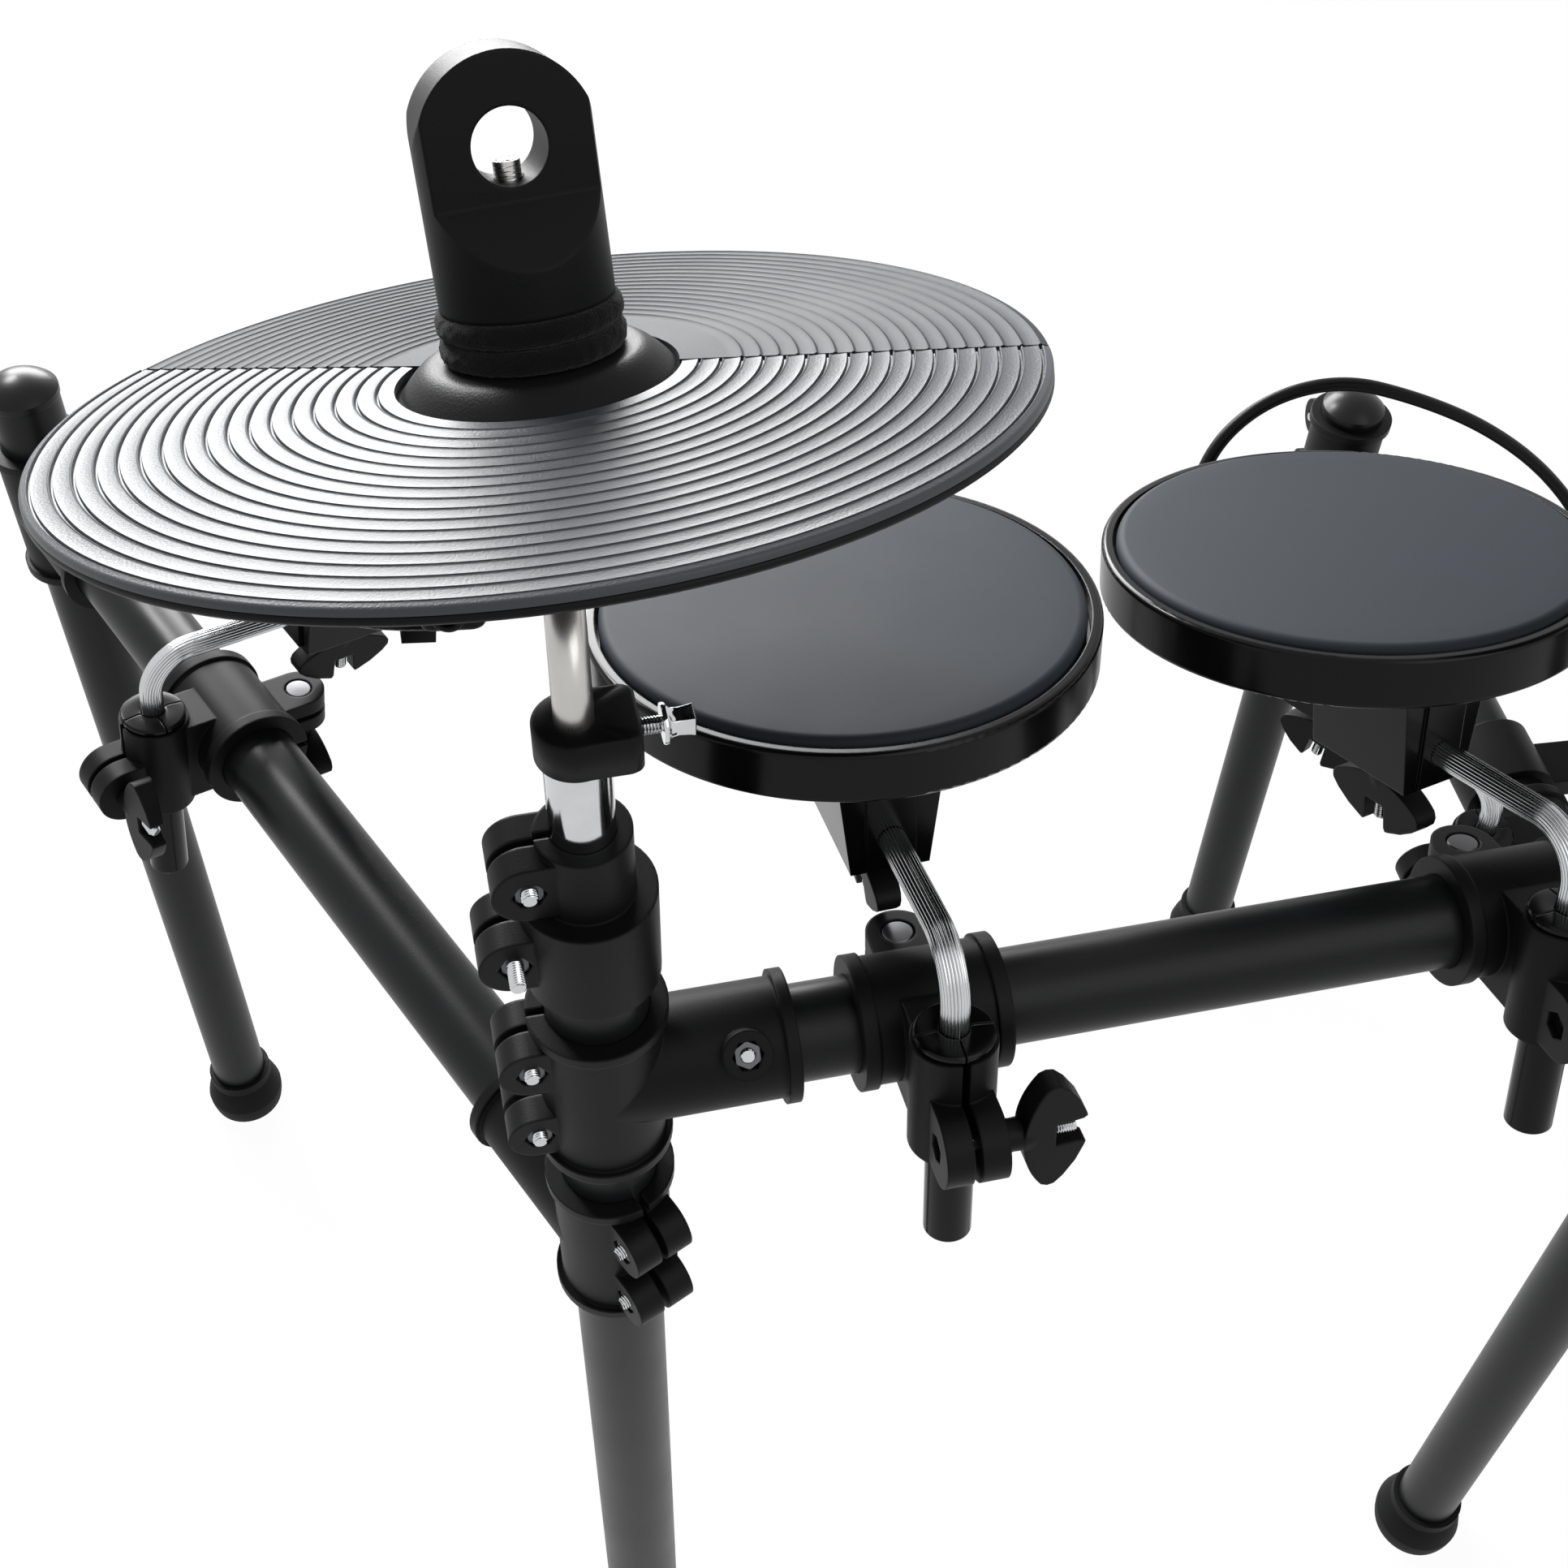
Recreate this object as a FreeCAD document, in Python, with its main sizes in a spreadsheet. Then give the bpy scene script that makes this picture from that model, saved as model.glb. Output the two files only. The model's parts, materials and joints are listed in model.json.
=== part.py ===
import FreeCAD, Part
import Sketcher
import math
import os

# Driving sizes in millimetres and degrees, one row of the sheet each.
SIZES = {
    # Rack tube and common fits
    "tube_dia": 38,
    "tube_wall": 1.6,
    "slip_fit": 0.1,
    "running_fit": 0.05,
    "seat_gap": 0.3,
    "overrun": 3,
    # Rack layout: front rail along X, wings run back towards the player
    "front_rail_height": 720,
    "right_rail_drop": 110,
    "left_rail_drop": 210,
    "right_rail_reach": 560,
    "left_rail_reach": 510,
    "right_rail_splay_angle": 24.5,
    "left_rail_splay_angle": 4,
    # Tee joint
    "tee_dia": 47,
    "tee_length": 84,
    "tee_reach": 72,
    "tee_ring_dia": 52,
    "tee_ring_width": 5,
    "tee_rail_stop": 25,
    "tee_ear_reach": 3,
    "tee_ear_width": 26,
    "tee_ear_rise": 24,
    "tee_ear_inset": 21,
    "clamp_slit": 3,
    "tee_boss_dia": 19,
    "tee_boss_height": 3.5,
    "tee_boss_place": 52,
    # Hexagon recesses for nuts, and the round one for a bolt head
    "hex_corner_dia": 12,
    "hex_depth": 4,
    "head_recess_dia": 14,
    "head_recess_depth": 2,
    # Rubber foot and domed cap
    "foot_dia": 55,
    "foot_base_dia": 51,
    "foot_bulge_height": 14,
    "foot_height": 40,
    "foot_lip_dia": 45,
    "foot_lip_height": 8,
    "foot_floor": 4,
    "cap_dia": 39.6,
    "cap_skirt": 4,
    "cap_dome": 9,
    "cap_plug": 14,
    "cap_stub": 31,
    "left_stub": 3,
    # Reducing clamp on top of each front post
    "arm_clamp_gap": 22,
    "arm_low_dia": 48,
    "arm_low_height": 44,
    "arm_top_dia": 33,
    "arm_top_height": 30,
    "arm_shelf": 3,
    "arm_ear_reach": 3.5,
    "arm_ear_width": 25,
    "arm_ear_rise": 25,
    # Chrome tube and memory collar
    "arm_tube_dia": 22.2,
    "arm_tube_wall": 1.5,
    "arm_tube_show": 36,
    "arm_tube_depth": 70,
    "collar_dia": 27,
    "collar_height": 16,
    "collar_cap": 5,
    "collar_block_reach": 20,
    "collar_block_width": 25,
    # Bent cymbal rod
    "cymbal_rod_dia": 12.7,
    "cymbal_rod_depth": 45,
    "cymbal_rod_rise": 2,
    "cymbal_rod_bend": 30,
    "cymbal_rod_lean_angle": 60,
    "cymbal_rod_swing_angle": 5,
    "cymbal_rod_run": 44,
    "cymbal_rod_neck": 5,
    "cymbal_tilt_angle": 19.7,
    "cymbal_turn_angle": 6.8,
    "cymbal_seat_dia": 30,
    "cymbal_seat_height": 2,
    "stud_dia": 8,
    "stud_show": 40,
    # Cymbal
    "cymbal_dia": 305,
    "cymbal_plate": 3.2,
    "cymbal_layer": 2.6,
    "cymbal_rim_width": 6,
    "cymbal_rise": 6,
    "bell_dia": 84,
    "bell_top_dia": 60,
    "bell_rise": 9,
    "bell_shoulder_radius": 28,
    "bell_hole_dia": 13,
    "rubber_sector_angle": 204,
    "rubber_turn_angle": 30,
    "sector_gap": 0.4,
    "layer_step": 0.5,
    "felt_dia": 56,
    "felt_height": 7.5,
    "felt_hole_dia": 8.4,
    # Tall paddle nut on the cymbal
    "nut_dia": 52,
    "nut_base": 14,
    "nut_eye_height": 45,
    "nut_eye_dia": 22,
    "nut_paddle": 20,
    "nut_bore_dia": 8.6,
    # Rail clamp with its rod block
    "clamp_dia": 50,
    "clamp_length": 58,
    "clamp_ring_dia": 53,
    "clamp_ring_width": 6,
    "clamp_ear_width": 26,
    "clamp_ear_place": 37,
    "clamp_ear_height": 19,
    "rod_offset": 40,
    "block_dia": 33,
    "block_top": 24,
    "block_bottom": 28,
    "block_web": 26,
    "block_ear_width": 24,
    "block_ear_place": 21,
    "block_ear_height": 30,
    "block_ear_drop": 10,
    # Flanged bush that holds the rod
    "bush_dia": 19,
    "bush_tail": 50,
    "bush_flange_dia": 27,
    "bush_flange": 5,
    # Bent pad rod
    "rod_dia": 11,
    "rod_tail": 88,
    "rod_height": 60,
    "rod_bend": 22,
    "rod_reach": 137,
    "rod_end_inset": 32,
    # Wing bolt with a half-moon grip
    "wing_radius": 25,
    "wing_width": 19,
    "wing_thick": 11,
    "wing_notch": 12,
    "wing_notch_depth": 9,
    "wing_stem_dia": 14,
    "wing_stem": 8,
    "wing_bolt_dia": 6,
    "wing_bolt_out": 3,
    "bolt_hole_dia": 6.5,
    # Pad
    "pad_dia": 200,
    "pad_rim_height": 21,
    "pad_rim_wall": 4.5,
    "pad_floor": 12,
    "pad_rod_depth": 46,
    "pad_foot_chamfer": 2,
    "pad_underside_dia": 96,
    "pad_underside_depth": 14,
    "pad_step_width": 8,
    "head_gap": 1.5,
    "head_proud": 3,
    "head_edge": 4,
    "mount_front": 62,
    "mount_length": 54,
    "mount_top_width": 46,
    "mount_low_width": 32,
    "mount_drop": 16,
    "mount_panel": 1.5,
    "mount_panel_width": 20,
    "pad_wing_place": 36,
    "jack_box_length": 22,
    "jack_box_width": 16,
    "jack_box_height": 13,
    "jack_box_angle": 335,
    # Pad places: along the rails, lean of the clamp, swing of the rod and tilt of the pad
    "middle_tom_place": 125,
    "middle_tom_lean_angle": 12,
    "middle_tom_swing_angle": 3,
    "tom_gap": 45,
    "left_bay": 160,
    "high_tom_lean_angle": 17,
    "high_tom_swing_angle": 16,
    "floor_tom_place": 345,
    "floor_tom_lean_angle": 8,
    "floor_tom_swing_angle": 0,
    "snare_place": 172,
    "snare_lean_angle": 0,
    "snare_swing_angle": 126,
    "snare_tilt_angle": 12,
    # Sound module on the left rail
    "module_place": 232,
    "module_width": 200,
    "module_depth": 140,
    "module_height": 42,
    "module_corner": 10,
    "module_offset": 140,
    "module_lift": 80,
    "module_tilt_angle": 25,
    "module_jack_place": 62,
    "module_jack_row": 48,
    "bracket_length": 40,
    "bracket_bar_width": 30,
    "bracket_bar_thick": 12,
    "bracket_plate_width": 90,
    "bracket_plate_depth": 70,
    "bracket_plate_thick": 4,
    "display_width": 70,
    "display_depth": 34,
    "display_thick": 2,
    "display_place": 35,
    "knob_dia": 30,
    "knob_top_dia": 27,
    "knob_height": 16,
    "knob_place": 65,
    "button_dia": 14,
    "button_height": 9,
    "button_proud": 4,
    "button_travel": 3,
    "button_clear": 0.3,
    "button_pitch": 28,
    "button_row": 35,
    # Jack plug and lead of the high tom
    "plug_dia": 12,
    "plug_length": 26,
    "plug_relief": 12,
    "plug_relief_dia": 8,
    "plug_tip": 22,
    "plug_tip_dia": 6.3,
    "lead_dia": 6.4,
    "lead_first_run": 30,
    "lead_last_run": 22,
}

# Route of the lead from the plug, over its arch behind the high tom and down to the module.
LEAD_ROUTE = (
    (46, 190, 730),
    (47, 222, 742),
    (58, 243, 768),
    (84, 250, 790),
    (122, 251, 796),
    (164, 250, 780),
    (206, 250, 757),
    (246, 249, 726),
    (280, 247, 688),
    (302, 240, 642),
    (314, 227, 596),
    (322, 214, 550),
    (330, 201, 508),
    (347, 192, 485),
    (371, 178, 481),
    (391, 167, 498),
)
# Share of the shorter run that each bend of the lead takes up.
lead_bend_share = 0.45


class Dim:
    """A size that knows both its value and the expression that gives it."""

    def __init__(self, text, value):
        self.text = text
        self.value = value

    def join(self, other, sign, value):
        """The size that two sizes, or a size and a plain ratio, give together."""
        return Dim("(%s %s %s)" % (self.text, sign, text_of(other)), value)

    def __add__(self, other):
        return self.join(other, "+", self.value + value_of(other))

    def __sub__(self, other):
        return self.join(other, "-", self.value - value_of(other))

    def __mul__(self, other):
        return self.join(other, "*", self.value * value_of(other))

    def __truediv__(self, other):
        return self.join(other, "/", self.value / value_of(other))

    def __neg__(self):
        return Dim("(0 - %s)" % self.text, -self.value)


def value_of(size):
    """A size as a plain number."""
    return size.value if isinstance(size, Dim) else float(size)


def text_of(size):
    """A size as an expression."""
    return size.text if isinstance(size, Dim) else repr(size)


doc = FreeCAD.newDocument("drum_kit")
sheet = doc.addObject("Spreadsheet::Sheet", "dims")
for row, (alias, number) in enumerate(SIZES.items(), 1):
    sheet.set("A%d" % row, alias)
    sheet.set("B%d" % row, str(number))
    sheet.setAlias("B%d" % row, alias)
doc.recompute()


class Sizes:
    """The sheet's cells by name."""

    def __getattr__(self, alias):
        return Dim("dims." + alias, float(sheet.get(alias)))


d = Sizes()
ZERO = Dim("0", 0.0)
# The second tom stands a pad and a gap from the first, and the left post a bay from the second.
high_tom_place = d.middle_tom_place + d.pad_dia + d.tom_gap
post_spacing = high_tom_place + d.left_bay
X, Y, Z = (FreeCAD.Vector(*axis) for axis in ((1, 0, 0), (0, 1, 0), (0, 0, 1)))
CORD_NODES = ("tom_lead", "tom_plug", "module_plug")
nodes = {}
places = {}


def shift(x=ZERO, y=ZERO, z=ZERO):
    """A placement that only moves."""
    return FreeCAD.Placement(FreeCAD.Vector(value_of(x), value_of(y), value_of(z)), FreeCAD.Rotation())


def turn(axis, angle):
    """A placement that only turns about an axis through the origin."""
    return FreeCAD.Placement(FreeCAD.Vector(), FreeCAD.Rotation(axis, value_of(angle)))


def made(kind, place, **sizes):
    """A primitive with its sizes bound to the sheet."""
    piece = doc.addObject("Part::" + kind, kind)
    for name, size in sizes.items():
        piece.setExpression(name, text_of(size))
    piece.Placement = place
    return piece


def rod(dia, length, place=FreeCAD.Placement()):
    """A round bar along Z from its placement's origin."""
    return made("Cylinder", place, Radius=dia / 2, Height=length)


def block(length, width, height, place=FreeCAD.Placement()):
    """A box centred on its placement in X and Y that stands on it in Z."""
    return made("Box", place * shift(-length / 2, -width / 2), Length=length, Width=width, Height=height)


def fused(*pieces):
    """One solid from several that touch or overlap."""
    whole = doc.addObject("Part::MultiFuse", "Fusion")
    whole.Shapes = list(pieces)
    whole.Refine = True
    return whole


def less(base, *tools):
    """A solid with others taken away."""
    whole = doc.addObject("Part::Cut", "Cut")
    whole.Base = base
    whole.Tool = tools[0] if len(tools) == 1 else fused(*tools)
    whole.Refine = True
    return whole


def shared(first, second):
    """What two solids have in common."""
    whole = doc.addObject("Part::Common", "Common")
    whole.Base = first
    whole.Tool = second
    whole.Refine = True
    return whole


def group(*pieces):
    """Like pieces of one body kept as separate solids."""
    whole = doc.addObject("Part::Compound", "Group")
    whole.Links = list(pieces)
    return whole


def node(name, piece, place=FreeCAD.Placement()):
    """Names a finished sub-part and puts it in its place."""
    piece.Label = name
    piece.Placement = place * piece.Placement
    nodes[name] = piece
    return piece


def outline(body, plane, corners):
    """A closed sketch of straight sides and arcs, every corner bound to the sheet.

    A corner is (x, y) or (x, y, radius, side): the side towards the next corner is then an
    arc of that radius, and side is 1 where the arc bulges to the left of the way there."""
    sketch = body.newObject("Sketcher::SketchObject", "Sketch")
    roles = {feature.Role: feature for feature in body.Origin.OriginFeatures}
    sketch.AttachmentSupport = [(roles[plane], "")]
    sketch.MapMode = "FlatFace"
    points = [FreeCAD.Vector(value_of(c[0]), value_of(c[1]), 0) for c in corners]
    starts = []
    ends = []
    for index, corner in enumerate(corners):
        here = points[index]
        there = points[(index + 1) % len(points)]
        if len(corner) == 2:
            side = sketch.addGeometry(Part.LineSegment(here, there))
            starts.append((side, 1))
            ends.append((side, 2))
            continue
        radius = value_of(corner[2])
        chord = there - here
        sagitta = radius - math.sqrt(radius ** 2 - (chord.Length / 2) ** 2)
        left = FreeCAD.Vector(-chord.y, chord.x, 0).normalize()
        middle = (here + there) / 2 + left * sagitta * corner[3]
        side = sketch.addGeometry(Part.Arc(here, middle, there))
        first = sketch.getPoint(side, 1)
        straight = (first - here).Length < (first - there).Length
        starts.append((side, 1 if straight else 2))
        ends.append((side, 2 if straight else 1))
        bend = sketch.addConstraint(Sketcher.Constraint("Radius", side, radius))
        sketch.setExpression("Constraints[%d]" % bend, text_of(corner[2]))
    for index, corner in enumerate(corners):
        sketch.addConstraint(Sketcher.Constraint("Coincident", *ends[index - 1], *starts[index]))
        for kind, size in (("DistanceX", corner[0]), ("DistanceY", corner[1])):
            datum = Sketcher.Constraint(kind, -1, 1, *starts[index], value_of(size))
            spot = sketch.addConstraint(datum)
            sketch.setExpression("Constraints[%d]" % spot, text_of(size))
    return sketch


def revolved(body, corners, angle=None):
    """A profile in the XZ plane turned about Z, all round or by an angle centred on X."""
    profile = outline(body, "XZ_Plane", corners)
    feature = body.newObject("PartDesign::Revolution", "Revolution")
    feature.Profile = profile
    feature.ReferenceAxis = (profile, ["V_Axis"])
    if angle is not None:
        feature.Midplane = True
        feature.setExpression("Angle", text_of(angle))
    return feature


def new_body():
    """An empty body."""
    return doc.addObject("PartDesign::Body", "Body")


class BentRod:
    """A round bar laid out run by run; bends turn it towards its own X."""

    def __init__(self, dia, place):
        self.dia = dia
        self.place = place
        self.pieces = []

    def run(self, length):
        """A straight stretch."""
        self.pieces.append(rod(self.dia, length, self.place))
        self.place = self.place * shift(z=length)

    def bend(self, radius, angle):
        """An arc towards X."""
        columns = FreeCAD.Rotation(-X, Z, Y, "ZXY")
        seat = self.place * shift(radius) * FreeCAD.Placement(FreeCAD.Vector(), columns)
        self.pieces.append(made("Torus", seat, Radius1=radius, Radius2=self.dia / 2, Angle3=angle))
        self.place = self.place * shift(radius) * turn(Y, angle) * shift(-radius)

    def aim(self, radius, goal):
        """An arc, the shortest way, until the bar points along the goal."""
        way = self.place.Rotation.inverted().multVec(goal)
        self.place = self.place * turn(Z, math.degrees(math.atan2(way.y, way.x)))
        angle = math.degrees(math.acos(way.z))
        self.bend(radius, Dim(repr(angle), angle))

    def solid(self):
        """The whole bar."""
        return fused(*self.pieces)


def tube(length):
    """A length of rack tube along Z."""
    bore = d.tube_dia - d.tube_wall * 2
    hollow = rod(bore, length + d.overrun * 2, shift(z=-d.overrun))
    return less(rod(d.tube_dia, length), hollow)


def split_ear(dia, reach, width, rise, height):
    """A rounded ear on the -X side of a collar of that diameter, centred at a height."""
    middle = dia / 2 + reach
    end = rod(rise, width, shift(-middle, width / 2, height) * turn(X, 90))
    root = block(middle, width, rise, shift(-middle / 2, ZERO, height - rise / 2))
    return [end, root]


def ear_slit(dia, reach, height, place):
    """The saw cut that lets a collar close, from its bore out through the ears."""
    length = dia / 2 + reach + d.tube_dia
    return block(length, d.clamp_slit, height + d.overrun * 2, place * shift(-length / 2, ZERO, -d.overrun))


def hex_recess(place):
    """A six-sided recess for a nut, sunk into a face at its placement; Z points out of the face."""
    return made("Prism", place * shift(z=-d.hex_depth), Circumradius=d.hex_corner_dia / 2,
                Height=d.hex_depth + d.overrun)


def ear_recesses(reach, width, height):
    """The recesses on both sides of an ear whose bolt runs along Y."""
    return [hex_recess(shift(-reach, width / 2 * side, height) * turn(X, -90 * side)) for side in (1, -1)]


def tee_joint():
    """The moulded joint that carries a rail on a post: collar along Z, sleeve along X."""
    half = d.tee_length / 2
    along = turn(Y, 90)
    ring_low = rod(d.tee_ring_dia, d.tee_ring_width, shift(z=-half))
    ring_top = rod(d.tee_ring_dia, d.tee_ring_width, shift(z=half - d.tee_ring_width))
    ring_end = rod(d.tee_ring_dia, d.tee_ring_width, shift(d.tee_reach - d.tee_ring_width) * along)
    collar = rod(d.tee_dia, d.tee_length, shift(z=-half))
    sleeve = rod(d.tee_dia, d.tee_reach, along)
    ears = []
    recesses = []
    for height in (half - d.tee_ear_inset, d.tee_ear_inset - half):
        ears += split_ear(d.tee_dia, d.tee_ear_reach, d.tee_ear_width, d.tee_ear_rise, height)
        recesses += ear_recesses(d.tee_dia / 2 + d.tee_ear_reach, d.tee_ear_width, height)
    boss_length = d.tee_dia / 2 + d.tee_boss_height
    boss_place = shift(d.tee_boss_place) * turn(X, 45)
    boss = rod(d.tee_boss_dia, boss_length, boss_place)
    recesses.append(hex_recess(boss_place * shift(z=boss_length)))
    bore = rod(d.tube_dia + d.slip_fit * 2, d.tee_length + d.overrun * 2, shift(z=-half - d.overrun))
    socket_length = d.tee_reach - d.tee_rail_stop + d.overrun
    socket = rod(d.tube_dia + d.slip_fit * 2, socket_length, shift(d.tee_rail_stop) * along)
    slit = ear_slit(d.tee_dia, d.tee_ear_reach + d.tee_ear_rise, d.tee_length, shift(z=-half))
    saw = block(d.tee_reach - d.tee_boss_place + d.tee_boss_dia, d.clamp_slit, d.tee_ring_dia,
                shift(d.tee_reach, ZERO, -d.tee_ring_dia))
    return less(fused(collar, sleeve, ring_low, ring_top, ring_end, boss, *ears), bore, socket, slit, saw, *recesses)


def rubber_foot():
    """A bell-shaped rubber foot with a lip round its mouth; the tube stands on its floor."""
    body = new_body()
    bore = d.tube_dia / 2 + d.slip_fit
    neck = d.foot_height - d.foot_lip_height
    revolved(body, [
        (ZERO, ZERO),
        (d.foot_base_dia / 2, ZERO, d.foot_dia, -1),
        (d.foot_dia / 2, d.foot_bulge_height, d.foot_dia, -1),
        (d.foot_lip_dia / 2 - d.tube_wall, neck),
        (d.foot_lip_dia / 2, neck),
        (d.foot_lip_dia / 2, d.foot_height),
        (bore, d.foot_height),
        (bore, d.foot_floor),
        (ZERO, d.foot_floor),
    ])
    return body


def post_cap():
    """A domed cap with a plug that goes into the open end of a tube."""
    body = new_body()
    plug = d.tube_dia / 2 - d.tube_wall - d.slip_fit
    rim = d.cap_dia / 2
    sphere = (rim * rim / d.cap_dome + d.cap_dome) / 2
    revolved(body, [
        (ZERO, -d.cap_plug),
        (plug, -d.cap_plug),
        (plug, ZERO),
        (rim, ZERO),
        (rim, d.cap_skirt, sphere, -1),
        (ZERO, d.cap_skirt + d.cap_dome),
    ])
    return body


def arm_clamp():
    """The two-step collar that grips the post below and the thinner chrome tube above."""
    top = d.arm_low_height + d.arm_top_height
    low = rod(d.arm_low_dia, d.arm_low_height)
    high = rod(d.arm_top_dia, top)
    low_ear = split_ear(d.arm_low_dia, d.arm_ear_reach, d.arm_ear_width, d.arm_ear_rise, d.arm_low_height / 2)
    high_ear = split_ear(d.arm_top_dia, d.arm_ear_reach, d.arm_ear_width, d.arm_ear_rise,
                         d.arm_low_height + d.arm_top_height / 2)
    bore = rod(d.tube_dia + d.slip_fit * 2, d.arm_low_height - d.arm_shelf + d.overrun, shift(z=-d.overrun))
    neck = rod(d.arm_tube_dia + d.slip_fit * 2, top + d.overrun)
    slit = ear_slit(d.arm_low_dia, d.arm_ear_reach + d.arm_ear_rise, top, FreeCAD.Placement())
    recesses = ear_recesses(d.arm_low_dia / 2 + d.arm_ear_reach, d.arm_ear_width, d.arm_low_height / 2)
    recesses += ear_recesses(d.arm_top_dia / 2 + d.arm_ear_reach, d.arm_ear_width,
                             d.arm_low_height + d.arm_top_height / 2)
    return less(fused(low, high, *low_ear, *high_ear), bore, neck, slit, *recesses)


def memory_collar():
    """The collar on the chrome tube's end, with a square side for its key screw."""
    ring = rod(d.collar_dia, d.collar_height)
    side = block(d.collar_block_reach, d.collar_block_width, d.collar_height, shift(d.collar_block_reach / 2))
    seat_length = d.collar_height - d.collar_cap + d.overrun
    seat = rod(d.arm_tube_dia + d.slip_fit * 2, seat_length, shift(z=-d.overrun))
    bore = rod(d.cymbal_rod_dia + d.running_fit * 2, d.collar_height + d.overrun)
    return less(fused(ring, side), seat, bore)


def wing_bolt(shank):
    """A screw along Z with a half-moon grip; it points down from its grip by the shank."""
    tip = d.wing_stem + d.wing_width
    moon = rod(d.wing_radius * 2, d.wing_thick,
               shift(ZERO, d.wing_thick / 2, d.wing_stem + d.wing_radius) * turn(X, 90))
    half = block(d.wing_radius * 2, d.wing_thick, d.wing_width, shift(z=d.wing_stem))
    notch = block(d.wing_notch, d.wing_thick + d.overrun, d.wing_notch_depth + d.overrun,
                  shift(z=tip - d.wing_notch_depth))
    stem = rod(d.wing_stem_dia, d.wing_stem + d.wing_stem_dia / 4)
    screw = rod(d.wing_bolt_dia, shank + tip + d.wing_bolt_out, shift(z=-shank))
    return fused(less(shared(moon, half), notch), stem, screw)


def rail_clamp():
    """The rail clamp: collar along X, closing ears behind, split rod block in front."""
    along = shift(-d.clamp_length / 2) * turn(Y, 90)
    collar = rod(d.clamp_dia, d.clamp_length, along)
    rings = []
    for place in (along, shift(d.clamp_length / 2 - d.clamp_ring_width) * turn(Y, 90)):
        rings.append(rod(d.clamp_ring_dia, d.clamp_ring_width, place))
    ear_low = -d.clamp_ear_height / 2
    ear_end = rod(d.clamp_ear_width, d.clamp_ear_height, shift(ZERO, d.clamp_ear_place, ear_low))
    ear_root = block(d.clamp_ear_width, d.clamp_ear_place, d.clamp_ear_height,
                     shift(ZERO, d.clamp_ear_place / 2, ear_low))
    height = d.block_top + d.block_bottom
    shell = rod(d.block_dia, height, shift(ZERO, -d.rod_offset, -d.block_bottom))
    web = block(d.block_web, d.rod_offset, height - d.overrun * 2,
                shift(ZERO, -d.rod_offset / 2, d.overrun - d.block_bottom))
    lug_low = -d.block_ear_height / 2 - d.block_ear_drop
    lug_length = d.block_ear_place + d.block_ear_height / 2
    lug_end = rod(d.block_ear_height, d.block_ear_width,
                  shift(-d.block_ear_width / 2, -d.rod_offset - d.block_ear_place, -d.block_ear_drop) * turn(Y, 90))
    lug_root = block(d.block_ear_width, d.block_ear_place, d.block_ear_height,
                     shift(ZERO, -d.rod_offset - d.block_ear_place / 2, lug_low))
    bore = rod(d.tube_dia + d.slip_fit * 2, d.clamp_length + d.overrun * 2,
               shift(-d.clamp_length / 2 - d.overrun) * turn(Y, 90))
    ear_cut = block(d.clamp_length + d.overrun * 2, d.clamp_ear_place + d.clamp_ear_width, d.clamp_slit,
                    shift(ZERO, (d.clamp_ear_place + d.clamp_ear_width) / 2, -d.clamp_slit / 2))
    seat = rod(d.bush_dia + d.slip_fit * 2, height + d.overrun * 2,
               shift(ZERO, -d.rod_offset, -d.block_bottom - d.overrun))
    lug_cut = block(d.clamp_slit, lug_length, height + d.overrun * 2,
                    shift(ZERO, -d.rod_offset - lug_length / 2, -d.block_bottom - d.overrun))
    lug_hole = rod(d.bolt_hole_dia, d.block_ear_width + d.overrun * 2,
                   shift(-d.block_ear_width / 2 - d.overrun, -d.rod_offset - d.block_ear_place, -d.block_ear_drop)
                   * turn(Y, 90))
    ear_hole = rod(d.bolt_hole_dia, d.clamp_ear_height + d.overrun * 2,
                   shift(ZERO, d.clamp_ear_place, ear_low - d.overrun))
    head = rod(d.head_recess_dia, d.head_recess_depth + d.overrun,
               shift(ZERO, d.clamp_ear_place, -ear_low - d.head_recess_depth))
    lug_recess = hex_recess(shift(-d.block_ear_width / 2, -d.rod_offset - d.block_ear_place, -d.block_ear_drop)
                            * turn(Y, -90))
    solid = fused(collar, ear_end, ear_root, shell, web, lug_end, lug_root, *rings)
    return less(solid, bore, ear_cut, seat, lug_cut, lug_hole, ear_hole, head, lug_recess)


def rod_bush():
    """The flanged bush in the rod block; its tail hangs below the block."""
    body = new_body()
    bore = d.rod_dia / 2 + d.running_fit
    low = -d.block_bottom - d.bush_tail
    top = d.block_top + d.bush_flange
    revolved(body, [
        (bore, low),
        (d.bush_dia / 2, low),
        (d.bush_dia / 2, d.block_top),
        (d.bush_flange_dia / 2, d.block_top),
        (d.bush_flange_dia / 2, d.block_top + d.bush_flange / 2, d.bush_flange_dia, -1),
        (bore, top),
    ])
    return body


def pad_rod():
    """The bent rod: an upright leg in the bush and a level leg that carries the pad."""
    bar = BentRod(d.rod_dia, shift(z=d.rod_height - d.rod_bend - d.rod_tail) * turn(Z, 90))
    bar.run(d.rod_tail)
    bar.bend(d.rod_bend, Dim("90", 90.0))
    bar.run(d.rod_reach - d.rod_end_inset - d.rod_bend)
    return bar.solid()


def mount_wedge():
    """The tapered mount under a pad, wider at the top, as a wedge along Z."""
    rise = d.pad_rod_depth + d.mount_drop
    low = -d.mount_low_width / 2
    high = -d.mount_top_width / 2
    back = d.mount_front - d.mount_length
    return made("Wedge", shift(z=-d.mount_drop) * turn(X, 90),
                Xmin=low, Xmax=d.mount_low_width / 2, Ymin=ZERO, Ymax=rise,
                Zmin=back, Zmax=d.mount_front, X2min=high, X2max=d.mount_top_width / 2,
                Z2min=back, Z2max=d.mount_front)


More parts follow.
